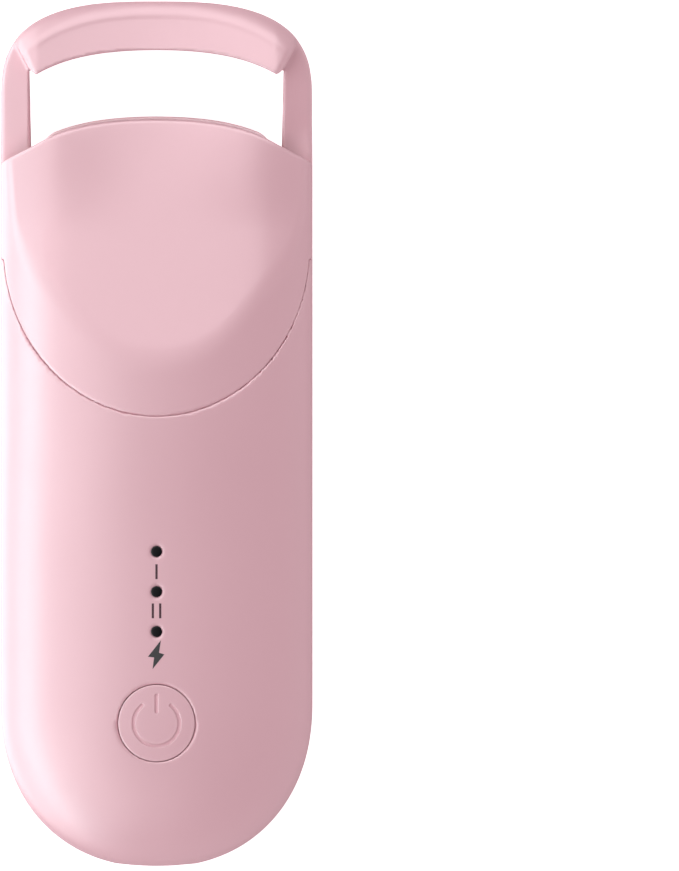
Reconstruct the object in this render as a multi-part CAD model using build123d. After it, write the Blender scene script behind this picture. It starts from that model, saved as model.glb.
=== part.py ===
"""Rechargeable heated eyelash curler: a pocket-size capsule lying on its back, lash window at the +Y end.

The thumb slider on the front carries a heated lower jaw up two guide rods until the pad meets the
fixed upper jaw, which is moulded in one piece with the rear housing. Under the front shell are the
power button, three indicator lenses, the board, the battery and the charging socket.

Frame: X across the body, Y along it towards the jaws, Z from the flat back (z = 0) to the front.
Millimetres.
"""
from build123d import *
import math
import os

os.makedirs("parts", exist_ok=True)

# ---------------------------------------------------------------- driving dimensions
WIDTH = 40.0            # across the capsule
LENGTH = 111.0          # tip of the arch to the foot of the capsule
WALL = 1.8              # moulded wall
SPLIT_Z = 8.0           # parting plane between rear housing and front shell
BODY_TOP = 20.2         # front of the body at the button
RIDGE_TOP = 21.5        # front of the thumb slider, the thickest place
TRAVEL = 8.6            # slider stroke that closes the jaws

HALF_W = WIDTH / 2
HALF_L = LENGTH / 2

FOOT_REACH = 21.2       # length of the rounded foot
FOOT_POWER = 2.2        # squareness of the foot's outline
FOOT_Y = -HALF_L + FOOT_REACH
HEAD_REACH = 12.8       # length of the rounded head
HEAD_POWER = 2.85
HEAD_Y = HALF_L - HEAD_REACH

BACK_DEPTH = 8.4        # the back's curve would reach this far under the parting plane
BACK_POWER = 3.2
BODY_POWER = 2.25       # cross-section of the front, at the button
RIDGE_POWER = 2.2       # cross-section of the slider
ARCH_RISE = 1.8         # front of the upper jaw over the parting plane, at the middle
ARCH_HALF = 15.3        # the bent face of the upper jaw ends here
RIM_ROUND = 2.2         # width of the arch's rounded outer edge at the middle
RIM_WIDEN = 1.3         # and how much wider it is at the ends

JAW_RADIUS = 42.0       # both jaws are bent to this radius, seen from the end
JAW_Z = 6.8             # middle of the heated jaw's depth
JAW_DEEP = 4.0
CLAMP_Y = 49.45         # upper jaw's edge, at the middle
PAD_Y = CLAMP_Y - TRAVEL - 0.11     # pad's edge at rest, at the middle
COVER_DROP = 0.44       # the slider's edge lies this far below the pad's edge
JAW_HALF = 15.4         # half the clamped length
ARM_INNER = 16.35       # inner face of the arms, at the top of the window
ARM_INNER_LOW = 16.1    # the same at the foot of the window
MOUTH_DROP = 3.0        # the back wall ends this far below the pad's edge

U_CENTRE_Y = 24.0       # the slider's foot is half an ellipse
U_HALF_W = 19.6
U_REACH = 21.7
HORN_Y = 20.3           # the front shell's side horns end here
GAP = 0.08              # fine butt gap round the slider's foot, which only moves away from it
UNDER_GAP = 0.2         # between the slider and the arms it runs over

RAMP_Y = 9.7            # the thumb ramp starts at the ridge
RAMP_SLOPE = 0.27
SHOULDER_X = 13.6       # the ramp turns down into its shoulders here
SHOULDER_SLOPE = 0.56
SHOULDER_SOFT = 2.6     # radius-like width of that turn
RAMP_WALL = 1.6
SHUTTER_INSET = 2.9     # shutter's face under the slider's face
SHUTTER_T = 0.8
SHUTTER_REACH = 9.2

BUTTON_Y = -36.9
BUTTON_R = 4.8
BUTTON_HOLE_R = 5.0
LENS_Y = (-14.97, -20.1, -25.2)
LENS_R = 0.7

BOARD_Z = 12.6          # underside of the main board
BOARD_T = 1.0
PORT_Z = SPLIT_Z        # the charging port is centred on the parting plane
CHARGE_BOARD_Z = 5.6    # underside of the small board that carries the port's socket
CHARGE_BOARD_T = 0.8
ROD_X = 13.0
ROD_Z = 5.4
ROD_R = 1.0
HOUSING_SCREWS = ((14.8, -4.0), (-14.8, -4.0), (13.5, -36.0), (-13.5, -36.0))
BOARD_POSTS = ((8.4, -8.6), (-8.4, -8.6), (8.4, -31.5), (-8.4, -31.5))
CHARGE_POSTS = ((4.8, -43.8), (-4.8, -43.8))
CARRIAGE_SCREWS = ((6.0, 14.0), (-6.0, 14.0))


# ---------------------------------------------------------------- shared curves and forms
def smooth(t):
    """0 to 1 with flat ends."""
    t = min(1.0, max(0.0, t))
    return t * t * (3 - 2 * t)


def bulge(t, power):
    """Height of a unit superellipse at t."""
    return max(0.0, 1 - abs(t) ** power) ** (1 / power)


def arc_points(power, count, first=-90, last=90):
    """Points of a unit superellipse by angle from the crown: (across, up)."""
    points = []
    for i in range(count):
        angle = math.radians(first + (last - first) * i / (count - 1))
        s, c = math.sin(angle), max(0.0, math.cos(angle))
        across = math.copysign(abs(s) ** (2 / power), s) if abs(s) > 1e-9 else 0.0
        up = c ** (2 / power) if c > 1e-9 else 0.0
        points.append((across, up))
    return points


def front_crown(y):
    """Front of the body along its middle: flat by the button, swelling into the slider's ridge."""
    return BODY_TOP + (RIDGE_TOP - BODY_TOP) * smooth((y + 16) / 20)


def front_power(y):
    return BODY_POWER + (RIDGE_POWER - BODY_POWER) * smooth((y + 10) / 32)


def front_section(y, inset=0.0):
    """Cross-section of the front half of the body at y, a spline over a straight base."""
    scale = 1.0
    if y < FOOT_Y:
        scale = bulge((FOOT_Y - y) / (FOOT_REACH - inset), FOOT_POWER)
    half = (HALF_W - inset) * scale
    rise = (front_crown(y) - SPLIT_Z - inset) * scale
    points = [(half * a, y, SPLIT_Z + rise * b) for a, b in arc_points(front_power(y), 15)]
    crown = Spline(*points, tangents=[(0, 0, 1), (0, 0, -1)])
    base = Line(points[-1], points[0])
    return Wire([crown.edge(), base.edge()])


def front_form(inset=0.0, top_y=27.0):
    """Front half of the body as one solid, from the foot's tip to top_y."""
    reach = FOOT_REACH - inset
    stations = [FOOT_Y - reach * math.sin(math.radians(a)) for a in (83, 76, 67, 56, 44, 31, 17)]
    stations += [FOOT_Y, FOOT_Y + 6, FOOT_Y + 12]
    stations += [-16 + 4.3 * i for i in range(10)]
    stations.append(top_y)
    tip = Vertex(0, FOOT_Y - reach, SPLIT_Z)
    return Solid.make_loft([tip] + [front_section(y, inset) for y in stations])


def outline_wire(z, grow, half_w, foot, head, open_top=False):
    """The capsule's outline at height z, shrunk about its spine by the factor grow."""
    a = half_w * grow
    right = [(a * s, FOOT_Y - foot * grow * c, z) for s, c in arc_points(FOOT_POWER, 15)]
    bottom = Spline(*right, tangents=[(0, -1, 0), (0, 1, 0)])
    top_y = 60.0 if open_top else HEAD_Y
    side_r = Line((a, FOOT_Y, z), (a, top_y, z))
    side_l = Line((-a, top_y, z), (-a, FOOT_Y, z))
    if open_top:
        top = Line((a, top_y, z), (-a, top_y, z))
    else:
        left = [(-a * s, HEAD_Y + head * grow * c, z) for s, c in arc_points(HEAD_POWER, 17)]
        top = Spline(*left, tangents=[(0, 1, 0), (0, -1, 0)])
    return Wire([bottom.edge(), side_r.edge(), top.edge(), side_l.edge()])


def rear_form(inset=0.0, floor=0.0, open_top=False):
    """Rear half of the capsule, from floor up to the parting plane."""
    depth = BACK_DEPTH - (floor if inset else 0.0)
    levels = [floor + (SPLIT_Z - floor) * t for t in (0, 0.07, 0.16, 0.28, 0.45, 0.65, 0.83, 1)]
    wires = []
    for z in levels:
        grow = bulge((SPLIT_Z - z) / depth, BACK_POWER)
        wires.append(
            outline_wire(z, grow, HALF_W - inset, FOOT_REACH - inset, HEAD_REACH, open_top)
        )
    return Solid.make_loft(wires)


def slider_form(inset=0.0, y0=-8.0, y1=44.0):
    """The slider's cross-section drawn straight along Y."""
    half, rise = HALF_W - inset, RIDGE_TOP - SPLIT_Z - inset
    points = [(half * a, y0, SPLIT_Z + rise * b) for a, b in arc_points(RIDGE_POWER, 17)]
    crown = Spline(*points, tangents=[(0, 0, 1), (0, 0, -1)])
    base = Line(points[-1], points[0])
    face = Face(Wire([crown.edge(), base.edge()]))
    return extrude(face, amount=y1 - y0, dir=(0, 1, 0))


def jaw_drop(x):
    """How far the jaws' edge falls from its middle, at x."""
    x = abs(x)
    if x <= JAW_HALF:
        return 0.0078 * x ** 2 + 2.36e-5 * x ** 4
    return jaw_drop(JAW_HALF) + 0.52 * (x - JAW_HALF)


def under_jaw_curve(middle_y, low_y, half=21.0):
    """Plan face bounded above by the jaws' edge curve."""
    xs = [-half, -18, -16.2, -15, -12, -8, -4, 0, 4, 8, 12, 15, 16.2, 18, half]
    edge = Spline(*[(x, middle_y - jaw_drop(x)) for x in xs])
    low = Polyline(
        (half, middle_y - jaw_drop(half)), (half, low_y), (-half, low_y),
        (-half, middle_y - jaw_drop(half)),
    )
    return Face(Wire([edge.edge(), *low.edges()]))


def slab(face, z0, z1):
    """A plan face extruded from z0 to z1."""
    return extrude(Pos(0, 0, z0) * face, amount=z1 - z0, dir=(0, 0, 1))


def block(x0, x1, y0, y1, z0, z1):
    return Pos((x0 + x1) / 2, (y0 + y1) / 2, (z0 + z1) / 2) * Box(x1 - x0, y1 - y0, z1 - z0)


def post(x, y, z0, z1, radius):
    return Pos(x, y, (z0 + z1) / 2) * Cylinder(radius, z1 - z0)


def rod(x, z, y0, y1, radius):
    """A round bar along Y."""
    return Pos(x, (y0 + y1) / 2, z) * Rot(90, 0, 0) * Cylinder(radius, y1 - y0)


def jaw_bend():
    """Everything between two coaxial bends, the front and the back of the heated jaw."""
    axis = Pos(0, 40, JAW_Z + JAW_RADIUS) * Rot(90, 0, 0)
    back = axis * Cylinder(JAW_RADIUS + JAW_DEEP / 2, 40)
    front = axis * Cylinder(JAW_RADIUS - JAW_DEEP / 2, 42)
    return (back - front) & block(-17, 17, 21, 59, 0, 20)


def jaw_strip(top_y, thick, half):
    """A bent strip under the jaws' edge curve, thick along Y."""
    band = slab(under_jaw_curve(top_y, 20.0), -1, 20)
    band -= slab(under_jaw_curve(top_y - thick, 15.0, 22.0), -2, 21)
    return jaw_bend() & band & block(-half, half, 20, 60, 0, 20)


def ramp_z(x, y):
    """Height of the thumb ramp: a flat slope, dished towards the jaws, with sloping shoulders."""
    middle = RIDGE_TOP - RAMP_SLOPE * (y - RAMP_Y)
    dish = smooth((y - 26) / 14) * x * x / (2 * JAW_RADIUS) / math.hypot(1, (x / 13) ** 2)
    past = abs(x) - SHOULDER_X
    shoulder = SHOULDER_SLOPE * (past + math.hypot(past, SHOULDER_SOFT)) / 2
    return middle + dish - shoulder


def under_ramp(inset=0.0):
    """Block of everything under the thumb ramp."""
    xs = [-24 + 2 * i for i in range(25)]
    ys = [-12 + 3 * i for i in range(21)]
    sheet = Face.make_surface_from_array_of_points(
        [[Vector(x, y, ramp_z(x, y) - inset) for y in ys] for x in xs]
    )
    tall = block(-23, 23, -11, 47, -2, 40)
    halves = split(tall, bisect_by=sheet, keep=Keep.BOTH)
    return min(halves.solids(), key=lambda s: s.center().Z)


def slider_plan(gap, top_y):
    """Plan of the slider: half-ellipse foot, full width above the horns, jaw curve at the top."""
    foot = Pos(0, U_CENTRE_Y) * Ellipse(U_HALF_W - gap, U_REACH - gap)
    above = Pos(0, HORN_Y + gap + 20) * Rectangle(2 * HALF_W + 2, 40)
    return (foot + above) & under_jaw_curve(top_y, -5.0, 22.0)


def one(shape):
    """The shape as a single clean solid."""
    solids = shape.solids()
    return max(solids, key=lambda s: s.volume)


# ---------------------------------------------------------------- rear housing with arms and arch
def port_slot(grow):
    """The charging socket's oval, enlarged by grow all round, along Y through the foot."""
    oval = SlotOverall(8.94 + 2 * grow, 3.2 + 2 * grow)
    return Pos(0, -44, PORT_Z) * Rot(90, 0, 0) * extrude(oval, amount=14)


def arch_section(x):
    """Section of the arch's front at x: rounded outer edge, then the bent jaw face."""
    top = HEAD_Y + HEAD_REACH * bulge(x / HALF_W, HEAD_POWER)
    round_w = RIM_ROUND + RIM_WIDEN * min(1.0, (x / ARCH_HALF) ** 2)
    rise = ARCH_RISE + min(abs(x), ARCH_HALF) ** 2 / (2 * JAW_RADIUS)
    if abs(x) > ARCH_HALF:
        rise *= bulge((abs(x) - ARCH_HALF) / (HALF_W - ARCH_HALF), 2.0)
    corner = [(s, c) for s, c in arc_points(2.2, 7, 0, 90)]
    edge = [(x, top - round_w + round_w * s, SPLIT_Z + rise * c) for s, c in corner]
    curve = Spline(*edge, tangents=[(0, 1, 0), (0, 0, -1)])
    rest = Polyline(edge[-1], (x, 36.0, SPLIT_Z), (x, 36.0, SPLIT_Z + rise), edge[0])
    return Wire([curve.edge(), *rest.edges()])


def make_rear_housing():
    outer = rear_form()
    hollow = rear_form(WALL, 2.0, open_top=True)
    hollow &= slab(under_jaw_curve(PAD_Y - MOUTH_DROP + 8, -70.0, 24.0), 1.0, SPLIT_Z)
    arm_roots = block(ARM_INNER_LOW, HALF_W, 23.5, 50, 0, SPLIT_Z)
    hollow -= arm_roots + mirror(arm_roots, about=Plane.YZ)
    shell = outer - hollow

    bent = [ARCH_HALF * i / 4 for i in range(-4, 5)]
    end = [ARCH_HALF, 16.4, 17.6, 18.7, 19.5]
    rim = Solid.make_loft([arch_section(x) for x in bent])
    rim += Solid.make_loft([arch_section(x) for x in end])
    rim += Solid.make_loft([arch_section(-x) for x in end])
    diagonal = Face(Wire(Polyline(
        (-22, 57), (-22, 56.6), (-18.1, 50.2), (-ARM_INNER, 46.9), (-JAW_HALF, 46.3),
        (0, 44), (JAW_HALF, 46.3), (ARM_INNER, 46.9), (18.1, 50.2), (22, 56.6), (22, 57),
        close=True,
    ).edges()))
    rim &= slab(diagonal, SPLIT_Z, 15)
    shell += rim

    sill = PAD_Y - MOUTH_DROP
    clamp = Spline(*[(x, CLAMP_Y - jaw_drop(x)) for x in (-15.4, -12, -8, -4, 0, 4, 8, 12, 15.4)])
    end_y = CLAMP_Y - jaw_drop(JAW_HALF)
    right = Polyline((JAW_HALF, end_y), (ARM_INNER, 46.9), (ARM_INNER_LOW, 37.0), (ARM_INNER_LOW, 20))
    left = Polyline(
        (ARM_INNER_LOW, 20), (-ARM_INNER_LOW, 20), (-ARM_INNER_LOW, 37.0), (-ARM_INNER, 46.9),
        (-JAW_HALF, end_y),
    )
    opening = Face(Wire([clamp.edge(), *right.edges(), *left.edges()]))
    window = slab(opening, -1, 16) - slab(under_jaw_curve(sill, 10, 24), -2, 17)
    shell -= window

    for side in (-1, 1):
        for y0, y1 in ((4.5, 7.5), (31.0, 34.0)):
            shell += block(side * ROD_X - 2, side * ROD_X + 2, y0, y1, 1.9, ROD_Z + 2)
        shell -= rod(side * ROD_X, ROD_Z, 5.2, 34.5, ROD_R)
    for x, y in HOUSING_SCREWS:
        shell += post(x, y, 1.5, SPLIT_Z, 2.6) & rear_form(0.5)
        shell -= post(x, y, -1, SPLIT_Z + 1, 1.15)
        shell -= post(x, y, -1, 2.2, 2.1)
    for x, y in CHARGE_POSTS:
        shell += post(x, y, 1.5, CHARGE_BOARD_Z, 1.5)
        shell -= post(x, y, 2.8, CHARGE_BOARD_Z + 1, 0.6)
    for x in (-11.9, 11.9):
        shell += block(x - 0.4, x + 0.4, -31.5, -2.5, 1.9, 4.5)
    shell -= port_slot(0.3)
    return one(shell)


# ---------------------------------------------------------------- front shell
def make_front_shell():
    outer = front_form()
    shell = outer - front_form(WALL, 28.0)
    shell -= slab(slider_plan(0.0, 60.0), 0, 30)
    shell -= block(-22, 22, HORN_Y, 40, 0, 30)
    for x, y in HOUSING_SCREWS:
        shell += post(x, y, SPLIT_Z, 19, 2.3) & outer
        shell -= post(x, y, SPLIT_Z - 1, 13.5, 0.85)
    for x, y in BOARD_POSTS:
        shell += post(x, y, BOARD_Z + BOARD_T, 19, 1.6) & outer
        shell -= post(x, y, BOARD_Z, 17.0, 0.6)
    shell -= post(0, BUTTON_Y, 16, 25, BUTTON_HOLE_R)
    for y in LENS_Y:
        shell -= post(0, y, 16, 25, LENS_R + 0.04)
    shell -= port_slot(0.3)
    return one(shell)


# ---------------------------------------------------------------- thumb slider
def make_slider_cover():
    plan = slab(slider_plan(GAP, PAD_Y - COVER_DROP), SPLIT_Z + UNDER_GAP, 30)
    cover = slider_form() & plan & under_ramp()
    inner_plan = slab(slider_plan(GAP + WALL, 60.0), 0, 30) & block(-20, 20, -5, 60, 0, 30)
    hollow = slider_form(WALL) & inner_plan & under_ramp(RAMP_WALL)
    cover -= hollow
    cover -= slider_form(SHUTTER_INSET) & under_ramp(RAMP_WALL)
    for x, y in CARRIAGE_SCREWS:
        cover += post(x, y, 9.6, 20, 1.9) & slider_form(0.5) & under_ramp(0.5)
        cover -= post(x, y, 9, 15.5, 0.6)
    return one(cover)


def make_slide_shutter():
    low = slab(Pos(0, U_CENTRE_Y - SHUTTER_REACH) * Ellipse(U_HALF_W - 0.6, U_REACH - 0.4), 0, 30)
    low &= block(-16.2, 16.2, -10, 12, 0, 30)
    inside = slab(Pos(0, U_CENTRE_Y + 4) * Ellipse(U_HALF_W - 1.0, U_REACH - 0.4), -1, 31)
    face = slider_form(SHUTTER_INSET + 0.05, -12, 20)
    back = slider_form(SHUTTER_INSET + 0.05 + SHUTTER_T, -13, 21)
    return one(((face - back) & low) - inside)


def make_carriage():
    deck = block(-15.6, 15.6, 7.75, 34.0, 8.4, 9.6) & slab(under_jaw_curve(36.5, 0), 0, 30)
    neck = jaw_strip(PAD_Y - 3.2, 4.0, JAW_HALF)
    carriage = deck + neck
    for side in (-1, 1):
        carriage += block(side * ROD_X - 2.1, side * ROD_X + 2.1, 7.75, 16.0, 3.2, 8.5)
    carriage += block(-9, 9, 30.0, 34.6, 7.0, 9.6)
    for side in (-1, 1):
        carriage -= rod(side * ROD_X, ROD_Z, 0, 36, ROD_R + 0.04)
        carriage -= block(side * ROD_X - 2.4, side * ROD_X + 2.4, 30.2, 34.8, 2, 8.0)
    for x, y in CARRIAGE_SCREWS:
        carriage -= post(x, y, 5, 12, 0.85)
    carriage -= block(-2.9, 2.9, 6, 36, 9.0, 10)
    carriage -= rod(0, JAW_Z, 35.4, 38, 1.0)
    return one(carriage)


def spring(side):
    """Return spring round a guide rod, between the carriage's bush and the upper lug."""
    start_y, end_y = 16.2, 30.8
    turns, steps, radius, wire_r = 9, 12, 1.6, 0.15
    count = turns * steps
    points = []
    for i in range(count + 1):
        angle = 2 * math.pi * i / steps
        y = start_y + (end_y - start_y) * i / count
        points.append((side * ROD_X + radius * math.cos(angle), y, ROD_Z + radius * math.sin(angle)))
    path = Polyline(*points)
    section = Plane(origin=path @ 0, z_dir=path % 0) * Circle(wire_r)
    return sweep(section, path=path, transition=Transition.RIGHT)


# ---------------------------------------------------------------- screws
def screw(x, y, head_z, direction, shank_r, length, head_r, head_h):
    """Cross-recess screw along Z; its head's underside is at head_z, its tip lies towards direction."""
    low, high = sorted((head_z, head_z + direction * length))
    shank = post(x, y, low, high, shank_r)
    h_low, h_high = sorted((head_z, head_z - direction * head_h))
    head = post(x, y, h_low, h_high, head_r)
    face = head_z - direction * head_h
    cut_low, cut_high = sorted((face - direction * 0.1, face + direction * head_h * 0.55))
    for turn in (0, 90):
        slot = Pos(x, y, (cut_low + cut_high) / 2) * Rot(0, 0, turn)
        head -= slot * Box(head_r * 1.25, head_r * 0.26, cut_high - cut_low)
    return shank + head


# ---------------------------------------------------------------- button, switch and lenses
def make_power_button():
    cap = post(0, BUTTON_Y, 16.6, 22, BUTTON_R) & front_form()
    flange = post(0, BUTTON_Y, 16.6, 17.35, 5.7)
    stem = post(0, BUTTON_Y, 16.25, 16.7, 1.6)
    cup = post(0, BUTTON_Y, 16.0, 18.2, BUTTON_R - 1.2) - post(0, BUTTON_Y, 15, 20, 1.6)
    return one(cap + flange + stem - cup)


def make_lens(y):
    head = post(0, y, 17.4, 22, LENS_R) & front_form()
    flange = post(0, y, 17.5, 18.25, 1.25)
    stem = post(0, y, 14.9, 17.8, 0.85)
    return one(head + flange + stem)


def make_light_shroud():
    shroud = block(-2.3, 2.3, LENS_Y[2] - 2.4, LENS_Y[0] + 2.4, BOARD_Z + BOARD_T, 17.3)
    for y in LENS_Y:
        shroud -= post(0, y, 13, 18, 1.2)
    return one(shroud)


# ---------------------------------------------------------------- board and what is on it
def make_board():
    outline = Polyline(
        (-10.8, -4.0), (10.8, -4.0), (10.8, -41.0), (7.5, -48.5), (-7.5, -48.5), (-10.8, -41.0),
        close=True,
    )
    board = slab(Face(Wire(outline.edges())), BOARD_Z, BOARD_Z + BOARD_T)
    for x, y in BOARD_POSTS:
        board -= post(x, y, 10, 15, 0.8)
    return one(board)


def rounded(x0, x1, y0, y1, z0, z1, radius):
    shape = block(x0, x1, y0, y1, z0, z1)
    return fillet(shape.edges().filter_by(Axis.Z), radius)


def make_battery():
    pouch = block(-11.3, 11.3, -32.3, -2.4, 2.4, 7.9)
    return one(fillet(pouch.edges().filter_by(Axis.Y), 1.6))


def make_charge_board():
    board = rounded(-6.5, 6.5, -52.0, -42.0, CHARGE_BOARD_Z, CHARGE_BOARD_Z + CHARGE_BOARD_T, 1.5)
    for x, y in CHARGE_POSTS:
        board -= post(x, y, 5, 7, 0.8)
    return one(board)


def make_board_link():
    """Flat cable that turns back from the charging board's top to the main board's underside."""
    low_z, high_z, turn_y, thick = CHARGE_BOARD_Z + CHARGE_BOARD_T, BOARD_Z, -39.0, 0.25
    middle_z = (low_z + high_z) / 2
    bend = (high_z - low_z) / 2
    outside = Line((0, -44.6, low_z), (0, turn_y, low_z)) + ThreePointArc(
        (0, turn_y, low_z), (0, turn_y + bend, middle_z), (0, turn_y, high_z)
    )
    outside += Line((0, turn_y, high_z), (0, -41.0, high_z))
    inside = Line((0, -41.0, high_z - thick), (0, turn_y, high_z - thick)) + ThreePointArc(
        (0, turn_y, high_z - thick), (0, turn_y + bend - thick, middle_z),
        (0, turn_y, low_z + thick),
    )
    inside += Line((0, turn_y, low_z + thick), (0, -44.6, low_z + thick))
    ends = Line((0, -44.6, low_z), (0, -44.6, low_z + thick))
    ends += Line((0, -41.0, high_z), (0, -41.0, high_z - thick))
    strip = Face(Wire([*outside.edges(), *inside.edges(), *ends.edges()]))
    return Pos(-2, 0, 0) * extrude(strip, amount=4.0, dir=(1, 0, 0))


def make_socket_shell():
    z = PORT_Z
    outside = Pos(0, -46.6, z) * Rot(90, 0, 0) * extrude(SlotOverall(8.94, 3.2), amount=7.8)
    inside = Pos(0, -47.4, z) * Rot(90, 0, 0) * extrude(SlotOverall(8.34, 2.6), amount=8)
    return one(outside - inside)


def make_socket_contacts():
    z = PORT_Z
    strips = []
    for i in range(8):
        x = (i - 3.5) * 0.8
        for side in (-1, 1):
            strips.append(block(x - 0.15, x + 0.15, -53.3, -48.6, *sorted((z + side * 0.36, z + side * 0.43))))
    return Compound(children=strips)


def make_ribbon():
    """Flat flex: from the board back to a rolling loop, then forward along the carriage."""
    top_z, low_z, loop_y, thick = BOARD_Z - 0.02, 9.1, -20.0, 0.2
    bend = (top_z - low_z) / 2
    middle_z = (top_z + low_z) / 2
    outside = Line((0, -7.0, top_z), (0, loop_y, top_z)) + ThreePointArc(
        (0, loop_y, top_z), (0, loop_y - bend, middle_z), (0, loop_y, low_z)
    )
    outside += Line((0, loop_y, low_z), (0, 35.0, low_z))
    inside = Line((0, 35.0, low_z + thick), (0, loop_y, low_z + thick)) + ThreePointArc(
        (0, loop_y, low_z + thick), (0, loop_y - bend + thick, middle_z),
        (0, loop_y, top_z - thick),
    )
    inside += Line((0, loop_y, top_z - thick), (0, -7.0, top_z - thick))
    ends = Line((0, 35.0, low_z), (0, 35.0, low_z + thick))
    ends += Line((0, -7.0, top_z - thick), (0, -7.0, top_z))
    strip = Face(Wire([*outside.edges(), *inside.edges(), *ends.edges()]))
    return Pos(-2.5, 0, 0) * extrude(strip, amount=5.0, dir=(1, 0, 0))


def make_leads():
    """Two battery leads from the pouch's tab up to the board's underside."""
    leads = []
    for x in (-5.4, -4.0):
        line = FilletPolyline(
            (x, -2.35, 6.4), (x, -0.9, 6.4), (x, -0.9, 11.0), (x, -5.5, 11.0), (x, -5.5, BOARD_Z),
            radius=0.9,
        )
        start = Plane(origin=line @ 0, z_dir=line % 0) * Circle(0.45)
        leads.append(sweep(start, path=line))
    return Compound(children=leads)


# ---------------------------------------------------------------- write every node
def save(name, shape):
    export_step(shape, f"parts/{name}.step")


save("rear_housing", make_rear_housing())
save("front_shell", make_front_shell())
save("slider_cover", make_slider_cover())
save("slide_shutter", make_slide_shutter())
save("slide_carriage", make_carriage())
for side, word in ((-1, "left"), (1, "right")):
    save(f"guide_rod_{word}", rod(side * ROD_X, ROD_Z, 5.3, 33.9, ROD_R))
    save(f"return_spring_{word}", spring(side))

save("heating_pad", one(jaw_strip(PAD_Y, 1.9, JAW_HALF - 0.1)))
save("heater_film", one(jaw_strip(PAD_Y - 1.92, 0.25, JAW_HALF - 0.4)))
save("heat_spreader", one(jaw_strip(PAD_Y - 2.19, 0.98, JAW_HALF - 0.2)))

housing_screws = [screw(x, y, 2.2, 1, 0.85, 11.0, 1.9, 1.3) for x, y in HOUSING_SCREWS]
save("housing_screws", Compound(children=housing_screws))
board_screws = [screw(x, y, BOARD_Z, 1, 0.5, 4.2, 1.3, 0.9) for x, y in BOARD_POSTS]
charge_top = CHARGE_BOARD_Z + CHARGE_BOARD_T
board_screws += [screw(x, y, charge_top, -1, 0.5, 3.4, 1.3, 0.9) for x, y in CHARGE_POSTS]
save("board_screws", Compound(children=board_screws))
carriage_screws = [screw(x, y, 8.4, 1, 0.5, 6.5, 1.5, 0.9) for x, y in CARRIAGE_SCREWS]
save("carriage_screws", Compound(children=carriage_screws))

save("power_button", make_power_button())
seal = post(0, BUTTON_Y, 15.4, 16.4, 6.6) - post(0, BUTTON_Y, 15, 17, 5.9)
save("button_seal", one(seal))
switch = block(-2.6, 2.6, BUTTON_Y - 2.6, BUTTON_Y + 2.6, BOARD_Z + BOARD_T, 15.35)
save("switch_body", one(switch - post(0, BUTTON_Y, 14.2, 16, 1.3)))
save("switch_plunger", post(0, BUTTON_Y, 14.7, 16.24, 1.25))
for y, word in zip(LENS_Y, ("low_heat", "high_heat", "charge")):
    save(f"lens_{word}", make_lens(y))
save("light_shroud", make_light_shroud())
lamps = [block(-0.8, 0.8, y - 0.4, y + 0.4, BOARD_Z + BOARD_T, 14.3) for y in LENS_Y]
save("indicator_lamps", Compound(children=lamps))

save("main_board", make_board())
chips = [
    rounded(4.6, 8.6, -20, -16, BOARD_Z + BOARD_T, BOARD_Z + BOARD_T + 1.0, 0.2),
    rounded(-8.4, -5.4, -24, -20, BOARD_Z + BOARD_T, BOARD_Z + BOARD_T + 0.9, 0.2),
    rounded(-6.8, -2.4, -44.0, -39.6, BOARD_Z - 0.9, BOARD_Z, 0.2),
]
save("control_chips", Compound(children=chips))
coil = post(6.2, -25.5, BOARD_Z + BOARD_T, BOARD_Z + BOARD_T + 2.2, 2.0)
save("charge_coil", one(fillet(coil.edges(), 0.3)))
save("charge_board", make_charge_board())
save("board_link", make_board_link())
save("socket_shell", make_socket_shell())
tongue = block(-3.35, 3.35, -53.4, -47.4, PORT_Z - 0.35, PORT_Z + 0.35)
save("socket_tongue", one(tongue))
save("socket_contacts", make_socket_contacts())
save("battery_cell", make_battery())
save("battery_foam", block(-8, 8, -30, -5, 7.92, 8.9))
save("battery_leads", make_leads())
save("heater_ribbon", make_ribbon())
save("heat_sensor", Pos(0, 36.75, JAW_Z) * Sphere(0.8))
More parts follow.
